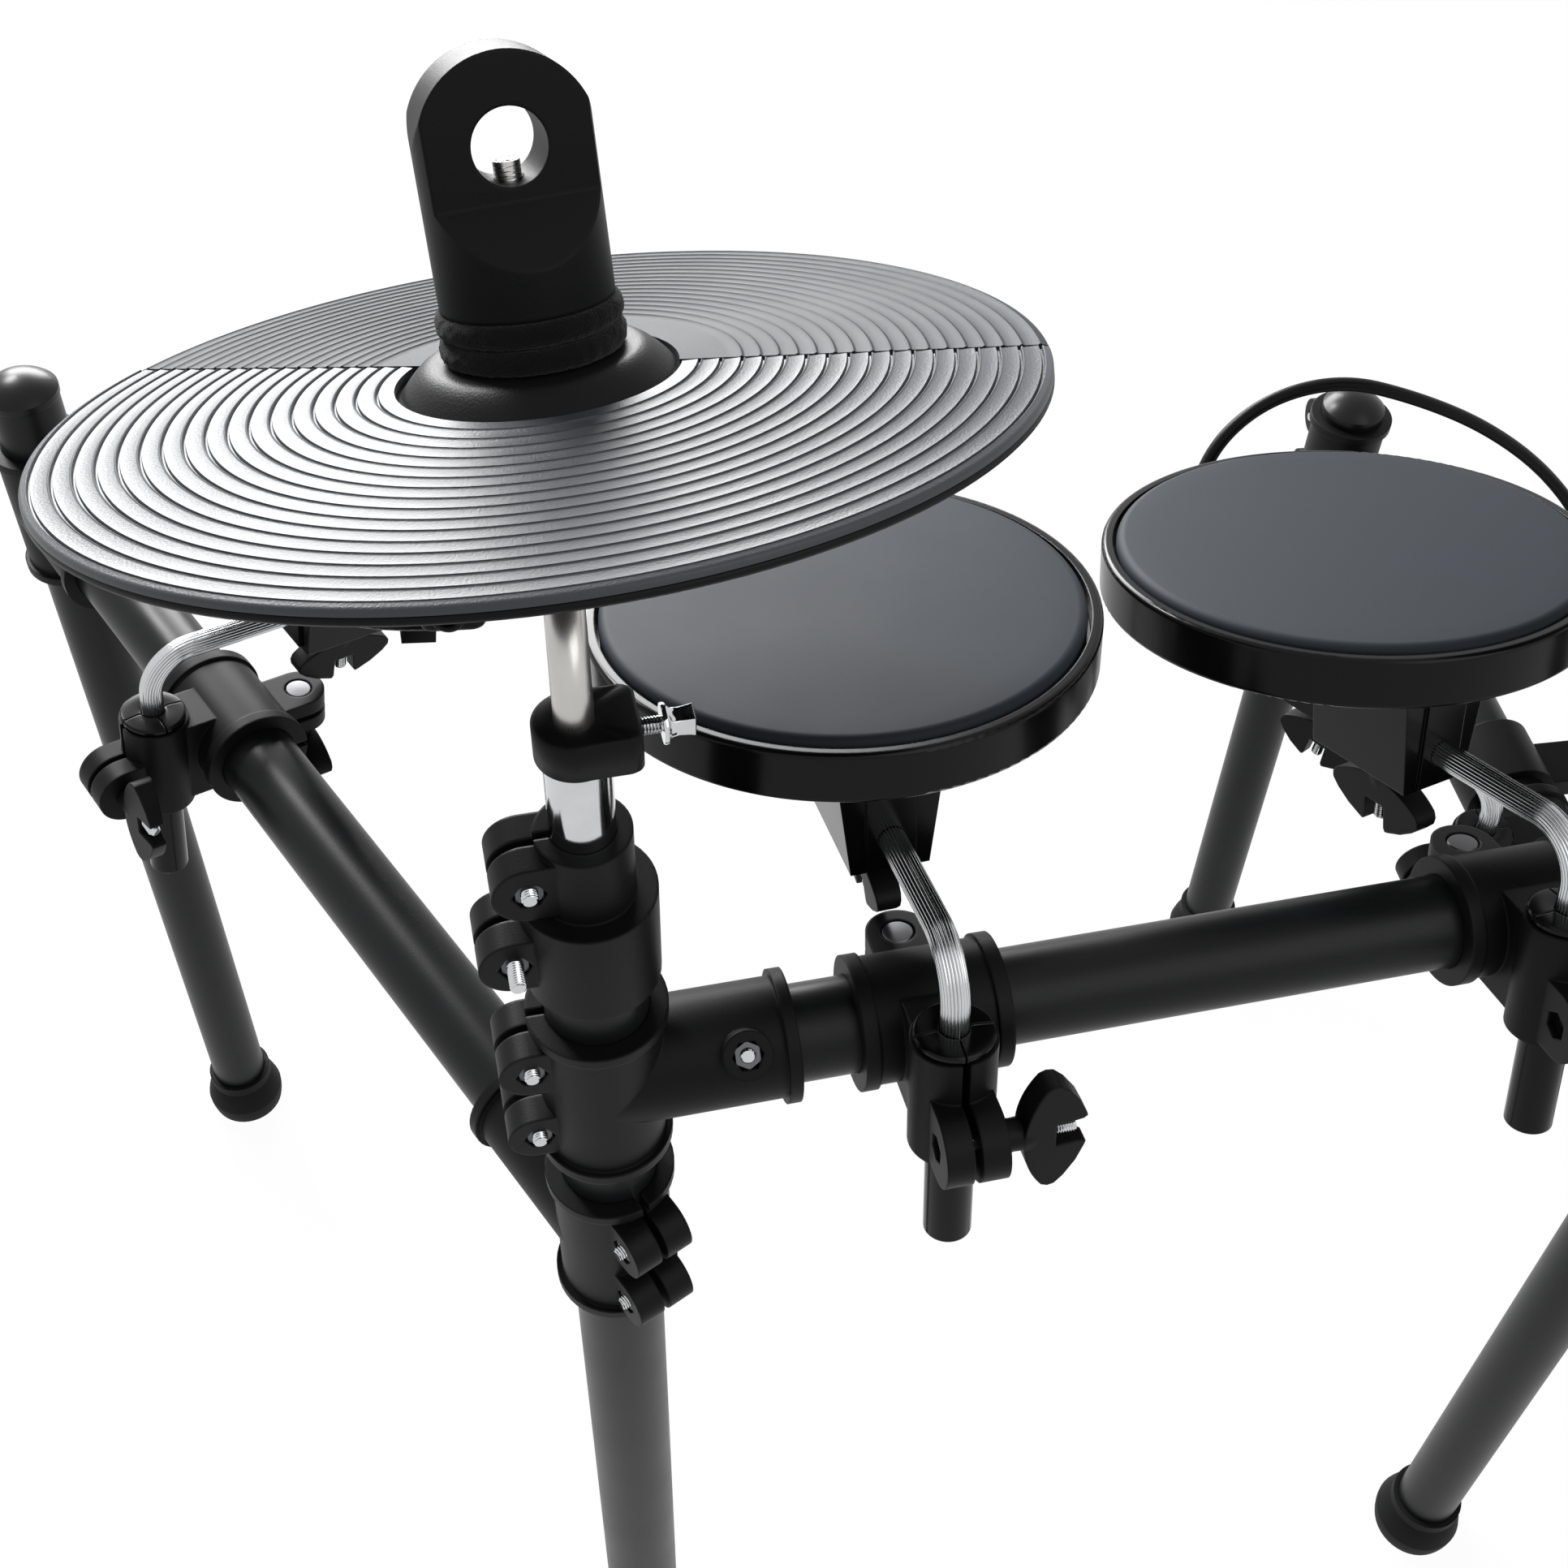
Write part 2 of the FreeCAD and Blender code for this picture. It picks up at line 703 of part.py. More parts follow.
def pad_shell():
    """The pad's rim, floor and underside with its tapered rod mount and jack box."""
    body = new_body()
    low = d.pad_rod_depth
    top = low + d.pad_rim_height
    outer = d.pad_dia / 2
    inner = outer - d.pad_rim_wall
    foot = outer - d.pad_step_width
    revolved(body, [
        (ZERO, low - d.pad_underside_depth),
        (d.pad_underside_dia / 2, low - d.pad_underside_depth),
        (foot, low),
        (outer - d.pad_foot_chamfer, low, d.pad_foot_chamfer, -1),
        (outer, low + d.pad_foot_chamfer),
        (outer, top - d.pad_foot_chamfer, d.pad_foot_chamfer, -1),
        (outer - d.pad_foot_chamfer, top),
        (inner, top),
        (inner, low + d.pad_floor),
        (ZERO, low + d.pad_floor),
    ])
    panel = block(d.mount_panel_width, d.mount_panel * 2, d.mount_drop + d.pad_rod_depth / 2,
                  shift(ZERO, -d.mount_front, -d.mount_drop + d.mount_panel))
    box_place = turn(Z, d.jack_box_angle) * shift(foot - d.jack_box_length / 2, ZERO, low - d.jack_box_height)
    box = block(d.jack_box_length, d.jack_box_width, d.jack_box_height + d.pad_foot_chamfer, box_place)
    bore_length = d.mount_front - d.rod_end_inset + d.overrun + d.mount_panel
    bore = rod(d.rod_dia + d.running_fit * 2, bore_length, shift(ZERO, -d.rod_end_inset, ZERO) * turn(X, 90))
    screw = rod(d.bolt_hole_dia, d.mount_drop + d.overrun, shift(ZERO, -d.pad_wing_place, -d.mount_drop - d.overrun))
    jack = jack_bore(pad_jack())
    solid = fused(body, mount_wedge(), panel, box)
    return less(solid, bore, screw, jack)


def pad_head():
    """The rubber playing head with a rounded edge, lying on the shell's floor."""
    body = new_body()
    low = d.pad_rod_depth + d.pad_floor
    top = d.pad_rod_depth + d.pad_rim_height + d.head_proud
    outer = d.pad_dia / 2 - d.pad_rim_wall - d.head_gap
    revolved(body, [
        (ZERO, low),
        (outer, low),
        (outer, top - d.head_edge, d.head_edge, -1),
        (outer - d.head_edge, top),
        (ZERO, top),
    ])
    return body


def cymbal_base():
    """The bow of the cymbal with its bell; the smooth sector is part of it."""
    body = new_body()
    edge = d.cymbal_dia / 2
    bell = d.bell_dia / 2
    seat = d.bell_top_dia / 2
    hole = d.bell_hole_dia / 2
    crown = d.cymbal_rise + d.bell_rise
    revolved(body, [
        (edge, ZERO),
        (edge, d.cymbal_plate),
        (bell, d.cymbal_rise + d.cymbal_plate, d.bell_shoulder_radius, -1),
        (seat, crown + d.cymbal_plate),
        (hole, crown + d.cymbal_plate),
        (hole, crown),
        (seat, crown, d.bell_shoulder_radius, 1),
        (bell, d.cymbal_rise),
        (edge - d.cymbal_rim_width, ZERO),
    ])
    start = bell + d.sector_gap
    layer = d.cymbal_plate + d.cymbal_layer - d.layer_step
    revolved(body, [
        (start, d.cymbal_rise + d.cymbal_plate / 2),
        (edge, d.cymbal_plate / 2),
        (edge, layer),
        (start, d.cymbal_rise + layer),
    ], Dim("360", 360.0) - d.rubber_sector_angle)
    return body


def cymbal_rubber():
    """The rubber sector that lies on the bow."""
    body = new_body()
    edge = d.cymbal_dia / 2
    start = d.bell_dia / 2 + d.sector_gap * 2
    low = d.cymbal_plate
    fall = d.cymbal_rise * (start - d.bell_dia / 2) / (edge - d.bell_dia / 2)
    gap_angle = d.sector_gap / d.bell_dia * 360
    revolved(body, [
        (start, d.cymbal_rise + low - fall),
        (edge, low),
        (edge, low + d.cymbal_layer),
        (start, d.cymbal_rise + low + d.cymbal_layer),
    ], d.rubber_sector_angle - gap_angle)
    return body


def felt(height):
    """A felt washer that starts at a height on the stud."""
    washer = rod(d.felt_dia, d.felt_height, shift(z=height))
    hole = rod(d.felt_hole_dia, d.felt_height + d.overrun * 2, shift(z=height - d.overrun))
    return less(washer, hole)


def paddle_nut():
    """The tall cymbal nut: round base, flat paddle with an arched top and an eye."""
    top = d.nut_eye_height + d.nut_dia / 2
    barrel = rod(d.nut_dia, top)
    arch = rod(d.nut_dia, d.nut_dia, shift(ZERO, d.nut_dia / 2, d.nut_eye_height) * turn(X, 90))
    skirt = block(d.nut_dia, d.nut_dia, d.nut_eye_height)
    flats = []
    for side in (1, -1):
        depth = (d.nut_dia - d.nut_paddle) / 2
        middle = (d.nut_paddle / 2 + depth) * side
        flats.append(block(d.nut_dia, depth * 2, top, shift(ZERO, middle, d.nut_base + depth)))
        lean = shift(ZERO, d.nut_paddle / 2 * side, d.nut_base)
        ramp = made("Wedge", lean if side > 0 else lean * turn(Z, 180),
                    Xmin=-d.nut_dia / 2, Xmax=d.nut_dia / 2, Ymin=ZERO, Ymax=d.nut_dia,
                    Zmin=depth, Zmax=depth + d.overrun, X2min=-d.nut_dia / 2, X2max=d.nut_dia / 2,
                    Z2min=depth - d.nut_dia, Z2max=depth + d.overrun)
        flats.append(ramp)
    eye = rod(d.nut_eye_dia, d.nut_dia + d.overrun * 2,
              shift(ZERO, d.nut_dia / 2 + d.overrun, d.nut_eye_height) * turn(X, 90))
    bore = rod(d.nut_bore_dia, d.nut_eye_height + d.overrun, shift(z=-d.overrun))
    return less(shared(barrel, fused(arch, skirt)), eye, bore, *flats)


def build_rack():
    """Posts, rails, tees, feet and caps. Returns the rails' frames by name."""
    half = post_spacing / 2
    front = d.front_rail_height
    right_z = front - d.right_rail_drop
    left_z = front - d.left_rail_drop
    tee_top = d.tee_length / 2
    arm_seat = front + tee_top + d.arm_clamp_gap
    front_top = arm_seat + d.arm_low_height - d.arm_shelf
    corner = {"right": shift(-half), "left": shift(half)}
    way = {"right": turn(Z, d.right_rail_splay_angle) * turn(Z, 90), "left": turn(Z, -d.left_rail_splay_angle) * turn(Z, 90)}
    reach = {"right": d.right_rail_reach, "left": d.left_rail_reach}
    rail_z = {"right": right_z, "left": left_z}
    stub = {"right": d.cap_stub, "left": d.left_stub}
    rear = {side: corner[side] * way[side] * shift(reach[side]) for side in corner}
    stand = shift(z=d.foot_floor)
    tees = {"front": [], "corner": [], "rear": []}
    posts = {"front": [], "rear": []}
    feet = []
    caps = []
    for side in ("right", "left"):
        posts["front"].append((corner[side] * stand, tube(front_top - d.foot_floor)))
        rear_top = rail_z[side] + tee_top + stub[side]
        posts["rear"].append((rear[side] * stand, tube(rear_top - d.foot_floor)))
        facing = turn(Z, 0) if side == "right" else turn(Z, 180)
        tees["front"].append((corner[side] * shift(z=front) * facing, tee_joint()))
        tees["corner"].append((corner[side] * way[side] * shift(z=rail_z[side]), tee_joint()))
        tees["rear"].append((rear[side] * shift(z=rail_z[side]) * turn(Z, 180), tee_joint()))
        feet += [(corner[side], rubber_foot()), (rear[side], rubber_foot())]
        caps.append((rear[side] * shift(z=rear_top), post_cap()))
        rail_length = reach[side] - d.tee_rail_stop * 2
        lay = corner[side] * way[side] * shift(d.tee_rail_stop, ZERO, rail_z[side]) * turn(Y, 90)
        node("%s_rail" % side, tube(rail_length), lay)
    lay = corner["right"] * shift(d.tee_rail_stop, ZERO, front) * turn(Y, 90)
    node("front_rail", tube(post_spacing - d.tee_rail_stop * 2), lay)
    for name, made_tees in tees.items():
        node("%s_tees" % name, placed_group(made_tees))
    for name, made_posts in posts.items():
        node("%s_posts" % name, placed_group(made_posts))
    node("rubber_feet", placed_group(feet))
    node("post_caps", placed_group(caps))
    rails = {
        "front": corner["right"] * shift(z=front),
        "right": corner["right"] * way["right"] * shift(z=right_z),
        "left": corner["left"] * way["left"] * shift(z=left_z),
    }
    arms = {side: corner[side] * shift(z=arm_seat) for side in corner}
    return rails, arms


def placed_group(pairs):
    """A group of pieces, each put in its own place."""
    for place, piece in pairs:
        piece.Placement = place * piece.Placement
    return group(*[piece for place, piece in pairs])


def build_cymbal(name, seat, hand):
    """One cymbal with its rod, felts and nut, on an arm whose clamp starts at seat.

    hand is 1 on the right post, and -1 on the left one, where all turns go the other way."""
    collar_top = d.arm_low_height + d.arm_top_height + d.arm_tube_show + d.collar_height
    swing = turn(Z, d.cymbal_rod_swing_angle * -hand)
    bar = BentRod(d.cymbal_rod_dia, seat * swing * shift(z=collar_top - d.cymbal_rod_depth) * turn(Z, 90))
    bar.run(d.cymbal_rod_depth + d.cymbal_rod_rise)
    bar.bend(d.cymbal_rod_bend, d.cymbal_rod_lean_angle)
    bar.run(d.cymbal_rod_run)
    tilt = turn(Z, d.cymbal_turn_angle * hand) * turn(X, -d.cymbal_tilt_angle)
    bar.aim(d.cymbal_rod_bend, tilt.Rotation.multVec(Z))
    bar.run(d.cymbal_rod_neck)
    crown = d.cymbal_rise + d.bell_rise
    flange_low = crown - d.seat_gap - d.felt_height - d.cymbal_seat_height
    rim = FreeCAD.Placement(bar.place.Base, tilt.Rotation) * shift(z=-flange_low)
    nut_low = crown + d.cymbal_plate + d.felt_height * 2 + d.seat_gap * 3
    bar.pieces.append(rod(d.cymbal_seat_dia, d.cymbal_seat_height, rim * shift(z=flange_low)))
    bar.pieces.append(rod(d.stud_dia, nut_low + d.stud_show - flange_low, rim * shift(z=flange_low)))
    node("%s_rod" % name, bar.solid())
    low_felt = felt(crown - d.seat_gap - d.felt_height)
    mid_felt = felt(crown + d.cymbal_plate + d.seat_gap)
    top_felt = felt(crown + d.cymbal_plate + d.seat_gap * 2 + d.felt_height)
    face = turn(Z, d.rubber_turn_angle * -hand) * turn(Z, -90)
    node("%s_base" % name, cymbal_base(), rim * face * turn(Z, 180))
    node("%s_rubber" % name, cymbal_rubber(), rim * face)
    node("%s_felts" % name, group(low_felt, mid_felt, top_felt), rim)
    node("%s_nut" % name, paddle_nut(), rim * shift(z=nut_low))
    places[name + "_swivel"] = (seat, Z)
    places[name + "_rock"] = (rim * shift(z=crown + d.cymbal_plate / 2), X)
    places[name + "_nut"] = (rim * shift(z=nut_low), Z)


def build_arms(arms):
    """The clamp, chrome tube and memory collar of both arms, then their cymbals."""
    clamps = []
    tubes = []
    collars = []
    tube_top = d.arm_low_height + d.arm_top_height + d.arm_tube_show + d.collar_height - d.collar_cap
    for side, name, hand in (("right", "ride", 1), ("left", "crash", -1)):
        outward = turn(Z, 0) if hand > 0 else turn(Z, 180)
        clamps.append((arms[side] * outward, arm_clamp()))
        bar = rod(d.arm_tube_dia, d.arm_tube_depth + d.arm_top_height + d.arm_tube_show)
        inside = rod(d.arm_tube_dia - d.arm_tube_wall * 2, tube_top + d.arm_tube_depth + d.overrun,
                     shift(z=-d.overrun))
        start = tube_top - d.arm_tube_depth - d.arm_top_height - d.arm_tube_show
        tubes.append((arms[side] * shift(z=start), less(bar, inside)))
        collar_low = d.arm_low_height + d.arm_top_height + d.arm_tube_show
        collars.append((arms[side] * shift(z=collar_low), memory_collar()))
        build_cymbal(name, arms[side], hand)
    node("arm_clamps", placed_group(clamps))
    node("arm_tubes", placed_group(tubes))
    node("arm_collars", placed_group(collars))


def build_pad(name, rail, along, lean, swing, tilt, back):
    """One pad on its rail clamp. back turns the clamp so that the rod stands behind the rail.

    Returns the clamp's and the bush's frames and the frame of the pad itself."""
    clamp = rail * shift(along) * turn(Z, back) * turn(X, -lean)
    upright = clamp * shift(ZERO, -d.rod_offset)
    swung = upright * turn(Z, swing)
    pad = swung * shift(ZERO, d.rod_reach, d.rod_height) * turn(Y, tilt)
    node(name + "_rod", pad_rod(), swung)
    node(name + "_shell", pad_shell(), pad)
    node(name + "_head", pad_head(), pad)
    screw = d.mount_drop - d.rod_dia / 2 - d.seat_gap
    under = pad * shift(ZERO, -d.pad_wing_place, -d.mount_drop - d.seat_gap) * turn(X, 180) * turn(Z, 90)
    node(name + "_pad_wing", wing_bolt(screw), under)
    lug = clamp * shift(d.block_ear_width / 2 + d.seat_gap, -d.rod_offset - d.block_ear_place, -d.block_ear_drop)
    side = lug * turn(Y, 90)
    node(name + "_rod_wing", wing_bolt(d.block_ear_width + d.seat_gap), side)
    places[name + "_swivel"] = (upright, Z)
    places[name + "_tilt"] = (pad, Y)
    places[name + "_pad_wing"] = (under, Z)
    places[name + "_rod_wing"] = (side, Z)
    return clamp, upright, pad


def build_pads(rails):
    """The four pads and what holds them on the rails. Returns the high tom's frame."""
    layout = (
        ("middle_tom", "front", d.middle_tom_place, d.middle_tom_lean_angle, d.middle_tom_swing_angle, ZERO, 0),
        ("high_tom", "front", high_tom_place, d.high_tom_lean_angle, d.high_tom_swing_angle, ZERO, 0),
        ("floor_tom", "right", d.floor_tom_place, d.floor_tom_lean_angle, d.floor_tom_swing_angle, ZERO, 180),
        ("snare", "left", d.snare_place, d.snare_lean_angle, d.snare_swing_angle, d.snare_tilt_angle, 180),
    )
    bushes = []
    nuts = []
    pads = {}
    for name, rail, along, lean, swing, tilt, back in layout:
        clamp, upright, pads[name] = build_pad(name, rails[rail], along, lean, swing, tilt, back)
        node(name + "_clamp", rail_clamp(), clamp)
        bushes.append((upright, rod_bush()))
        under = clamp * shift(ZERO, d.clamp_ear_place, -d.clamp_ear_height / 2 - d.seat_gap) * turn(X, 180)
        nuts.append((under, wing_bolt(d.clamp_ear_height + d.seat_gap)))
    node("rod_bushes", placed_group(bushes))
    node("rail_wing_bolts", placed_group(nuts))
    return pads["high_tom"]


def module_bracket():
    """A rail collar with an arm, a post and a tilted plate that the module lies on."""
    along = shift(-d.bracket_length / 2) * turn(Y, 90)
    collar = rod(d.clamp_dia, d.bracket_length, along)
    arm = block(d.bracket_bar_width, d.module_offset + d.bracket_bar_thick / 2, d.bracket_bar_thick,
                shift(ZERO, (d.module_offset + d.bracket_bar_thick / 2) / 2, -d.bracket_bar_thick / 2))
    post = block(d.bracket_bar_width, d.bracket_bar_thick, d.module_lift, shift(ZERO, d.module_offset))
    plate = block(d.bracket_plate_width, d.bracket_plate_depth, d.bracket_plate_thick,
                  shift(ZERO, d.module_offset, d.module_lift) * turn(X, d.module_tilt_angle))
    bore = rod(d.tube_dia + d.slip_fit * 2, d.bracket_length + d.overrun * 2,
               shift(-d.bracket_length / 2 - d.overrun) * turn(Y, 90))
    return less(fused(collar, arm, post, plate), bore)


def module_case():
    """The module's housing with recesses for its display and buttons."""
    body = new_body()
    half_x = d.module_width / 2
    half_y = d.module_depth / 2
    round_x = half_x - d.module_corner
    round_y = half_y - d.module_corner
    profile = outline(body, "XY_Plane", [
        (-round_x, -half_y),
        (round_x, -half_y, d.module_corner, -1),
        (half_x, -round_y),
        (half_x, round_y, d.module_corner, -1),
        (round_x, half_y),
        (-round_x, half_y, d.module_corner, -1),
        (-half_x, round_y),
        (-half_x, -round_y, d.module_corner, -1),
    ])
    pad = body.newObject("PartDesign::Pad", "Pad")
    pad.Profile = profile
    pad.setExpression("Length", d.module_height.text)
    cuts = [block(d.display_width + d.seat_gap, d.display_depth + d.seat_gap, d.display_thick + d.overrun,
                  shift(-d.display_place, d.button_row / 2, d.module_height - d.display_thick))]
    depth = d.button_height - d.button_proud + d.button_travel
    for place in button_places():
        cuts.append(rod(d.button_dia + d.button_clear * 2, depth + d.overrun, place * shift(z=-depth)))
    return less(body, jack_bore(module_jack()), *cuts)


def button_places():
    """Where the buttons come through the top of the module."""
    row = shift(-d.display_place, -d.button_row, d.module_height)
    return [row * shift(d.button_pitch * step) for step in (-1, 0, 1)]


def build_module(rail):
    """The sound module on its bracket, with its display, knob and buttons. Returns the case's frame."""
    seat = rail * shift(d.module_place) * turn(Z, 180)
    node("module_bracket", module_bracket(), seat)
    plate = seat * shift(ZERO, d.module_offset, d.module_lift) * turn(X, d.module_tilt_angle)
    top = plate * shift(z=d.bracket_plate_thick)
    node("module_case", module_case(), top)
    glass = block(d.display_width, d.display_depth, d.display_thick,
                  shift(-d.display_place, d.button_row / 2, d.module_height - d.display_thick))
    node("module_display", glass, top)
    knob_place = top * shift(d.knob_place, ZERO, d.module_height + d.seat_gap)
    node("volume_knob", made("Cone", FreeCAD.Placement(), Radius1=d.knob_dia / 2,
                             Radius2=d.knob_top_dia / 2, Height=d.knob_height), knob_place)
    places["volume_knob"] = (knob_place, Z)
    for label, place in zip(("down", "start", "up"), button_places()):
        low = d.button_proud - d.button_height
        node(label + "_button", rod(d.button_dia, d.button_height, shift(z=low)), top * place)
        places[label + "_button"] = (top * place, -Z)
    return top


def pad_jack():
    """Where the plug enters the rear of a pad's mount, on the line of its rod; Z points out."""
    return shift(ZERO, d.mount_length - d.mount_front) * turn(X, -90)


def module_jack():
    """Where the plug enters the module from below; Z points out."""
    return shift(d.module_jack_place, -d.module_jack_row) * turn(X, 180)


def jack_bore(place):
    """The hole that a plug's tip turns in."""
    depth = d.plug_tip - d.seat_gap
    return rod(d.plug_tip_dia + d.running_fit * 2, depth + d.overrun * 2, place * shift(z=-depth - d.overrun))


def jack_plug():
    """A plug with its tip, barrel and tapered strain relief, pointing away from its jack."""
    tip = rod(d.plug_tip_dia, d.plug_tip, shift(z=-d.plug_tip))
    barrel = rod(d.plug_dia, d.plug_length)
    relief = made("Cone", shift(z=d.plug_length), Radius1=d.plug_dia / 2, Radius2=d.plug_relief_dia / 2,
                  Height=d.plug_relief)
    return fused(tip, barrel, relief)


def lead_solid(points):
    """A round lead along straight runs that tangent arcs join."""
    sides = []
    here = points[0]
    radii = []
    for before, corner, after in zip(points, points[1:], points[2:]):
        come = corner - before
        leave = after - corner
        half = come.getAngle(leave) / 2
        cut = lead_bend_share * min(come.Length, leave.Length)
        radius = cut / math.tan(half)
        come.normalize()
        leave.normalize()
        inward = (leave - come).normalize()
        first = corner - come * cut
        last = corner + leave * cut
        middle = corner + inward * (radius / math.cos(half) - radius)
        sides += [Part.LineSegment(here, first), Part.Arc(first, middle, last)]
        radii.append(radius)
        here = last
    sides.append(Part.LineSegment(here, points[-1]))
    path = Part.Wire([side.toShape() for side in sides])
    section = Part.Wire(Part.makeCircle(d.lead_dia.value / 2, points[0], points[1] - points[0]))
    solid = path.makePipeShell([section], True, False)
    share = solid.Volume / (math.pi * (d.lead_dia.value / 2) ** 2 * path.Length)
    print("lead length %.1f, least radius %.1f, volume share %.4f" % (path.Length, min(radii), share))
    return solid


def build_lead(pad, top):
    """The high tom's lead, from the plug in its mount to the plug in the module."""
    tom_end = pad * pad_jack() * shift(z=d.seat_gap)
    module_end = top * module_jack() * shift(z=d.seat_gap)
    node("tom_plug", jack_plug(), tom_end)
    node("module_plug", jack_plug(), module_end)
    reach = d.plug_length + d.plug_relief
    points = [(tom_end * shift(z=reach)).Base, (tom_end * shift(z=reach + d.lead_first_run)).Base]
    points += [FreeCAD.Vector(*point) for point in LEAD_ROUTE]
    points += [(module_end * shift(z=reach + d.lead_last_run)).Base, (module_end * shift(z=reach)).Base]
    lead = doc.addObject("Part::Feature", "Lead")
    lead.Shape = lead_solid(points)
    node("tom_lead", lead)
    for index, point in enumerate(points):
        places["lead_%02d" % index] = (FreeCAD.Placement(point, FreeCAD.Rotation()), Z)


def main():
    """Builds every sub-part, checks it and writes it."""
    rails, arms = build_rack()
    build_arms(arms)
    high_tom = build_pads(rails)
    module = build_module(rails["left"])
    build_lead(high_tom, module)
    doc.recompute()
    failed = [piece.Label for piece in doc.Objects if {"Invalid", "Error"} & set(piece.State)]
    if failed:
        raise RuntimeError("failed: " + ", ".join(failed))
    box = FreeCAD.BoundBox()
    for name, piece in nodes.items():
        if name not in CORD_NODES:
            box.add(piece.Shape.BoundBox)
    centre = FreeCAD.Placement(FreeCAD.Vector(-box.Center.x, -box.Center.y, 0), FreeCAD.Rotation())
    os.makedirs("parts", exist_ok=True)
    for name, piece in nodes.items():
        piece.Placement = centre * piece.Placement
        shape = piece.Shape
        if shape.isNull() or not shape.isValid():
            raise RuntimeError("bad shape: " + name)
        shape.exportStep("parts/%s.step" % name)
    for name, (place, axis) in places.items():
        spot = (centre * place).Base
        way = place.Rotation.multVec(axis)
        print("place %s %.3f %.3f %.3f axis %.5f %.5f %.5f" % (name, spot.x, spot.y, spot.z, way.x, way.y, way.z))
    print("size %.1f %.1f %.1f" % (box.XLength, box.YLength, box.ZLength))


main()
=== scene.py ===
import json
import math

import bmesh
import bpy
import numpy as np
from mathutils import Matrix


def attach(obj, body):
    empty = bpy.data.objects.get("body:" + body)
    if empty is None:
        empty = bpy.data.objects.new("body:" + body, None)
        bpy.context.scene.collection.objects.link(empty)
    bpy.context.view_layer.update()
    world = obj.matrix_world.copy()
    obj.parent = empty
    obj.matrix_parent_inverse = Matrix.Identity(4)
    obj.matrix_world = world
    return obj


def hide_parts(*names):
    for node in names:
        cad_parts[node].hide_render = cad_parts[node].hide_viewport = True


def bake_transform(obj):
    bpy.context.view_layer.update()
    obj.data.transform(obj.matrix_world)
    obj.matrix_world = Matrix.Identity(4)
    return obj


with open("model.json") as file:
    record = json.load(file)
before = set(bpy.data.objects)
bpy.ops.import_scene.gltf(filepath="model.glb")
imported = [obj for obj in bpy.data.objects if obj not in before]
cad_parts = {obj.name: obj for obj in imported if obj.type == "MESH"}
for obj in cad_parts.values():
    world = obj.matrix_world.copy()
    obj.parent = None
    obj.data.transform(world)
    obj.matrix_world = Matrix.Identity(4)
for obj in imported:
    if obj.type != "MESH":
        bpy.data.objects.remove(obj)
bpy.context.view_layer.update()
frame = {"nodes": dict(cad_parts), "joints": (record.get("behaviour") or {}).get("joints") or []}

bl_info = {
    "name": "Electronic drum kit",
    "version": (1, 0, 0),
    "blender": (4, 5, 0),
    "location": "3D View > Sidebar > Drum kit",
    "description": "Dresses the drum kit with its small parts, soft parts and finishes",
    "category": "Object",
}

# Millimetres are used for shapes and places; meshes are written in metres.
MM = 0.001
JOINTS = {joint["name"]: joint for joint in frame["joints"]}
NODES = frame["nodes"]
PADS = ("middle_tom", "high_tom", "floor_tom", "snare")
# Each cymbal's side: 1 on the right post, -1 on the left one
CYMBALS = {"ride": 1, "crash": -1}
# How far a pad is tilted about its rod at rest, in degrees
REST_TILT = {"snare": 12.0}


def wing_end(post, heading, length):
    """The place of the rear post at the end of a wing, whose heading is in degrees."""
    angle = math.radians(heading)
    return post + length * np.array((math.cos(angle), math.sin(angle)))


# Front posts, the height of the arm clamps on them, the wings' headings and lengths, and the rails' heights
RIGHT_POST = np.array(JOINTS["ride_swivel"]["pos_m"][:2]) / MM
LEFT_POST = np.array(JOINTS["crash_swivel"]["pos_m"][:2]) / MM
ARM_SEAT = JOINTS["ride_swivel"]["pos_m"][2] / MM
ORIGIN = np.array((*RIGHT_POST, 0.0))
RIGHT_HEADING = 114.5
LEFT_HEADING = 86.0
RIGHT_LENGTH = 560.0
LEFT_LENGTH = 510.0
RIGHT_REAR = wing_end(RIGHT_POST, RIGHT_HEADING, RIGHT_LENGTH)
LEFT_REAR = wing_end(LEFT_POST, LEFT_HEADING, LEFT_LENGTH)
FRONT_RAIL = 720
RIGHT_RAIL = 610
LEFT_RAIL = 510
# Each tee's post, height, heading of its branch in degrees, and the side of its bolt ends
TEES = (
    (RIGHT_POST, FRONT_RAIL, 0.0, -1),
    (LEFT_POST, FRONT_RAIL, 180.0, 1),
    (RIGHT_POST, RIGHT_RAIL, RIGHT_HEADING, 1),
    (LEFT_POST, LEFT_RAIL, LEFT_HEADING, -1),
    (RIGHT_REAR, RIGHT_RAIL, RIGHT_HEADING + 180.0, 1),
    (LEFT_REAR, LEFT_RAIL, LEFT_HEADING + 180.0, -1),
)
# Closing ears of a tee: distance behind the post, half width, heights from the branch and the bolt's stand
EAR_REACH = 26.5
EAR_HALF = 13
EAR_HEIGHTS = (21, -21)
EAR_PROUD = 2.2
# Bolt boss of a tee: distance along the branch, turn about it, height over it and the bolt's stand
BOSS_REACH = 52
BOSS_TURN = 45
BOSS_HEIGHT = 27
BOSS_PROUD = 0.4
# Closing ears of an arm clamp: distance behind the post, height over the seat, bolt's stand; half width
ARM_EARS = ((27.5, 22, 9.0), (20, 59, 2.2))
ARM_EAR_HALF = 12.5
# Recess of a nut or bolt head, and the radius to the corners of its hexagon
RECESS = 3.9
HEXAGON = 5.7
# Rail clamp: from the rail to the pad rod and to the closing ear's screw, and the height of its head
ROD_OFFSET = 40
EAR_SCREW = 37
EAR_TOP = 7.6
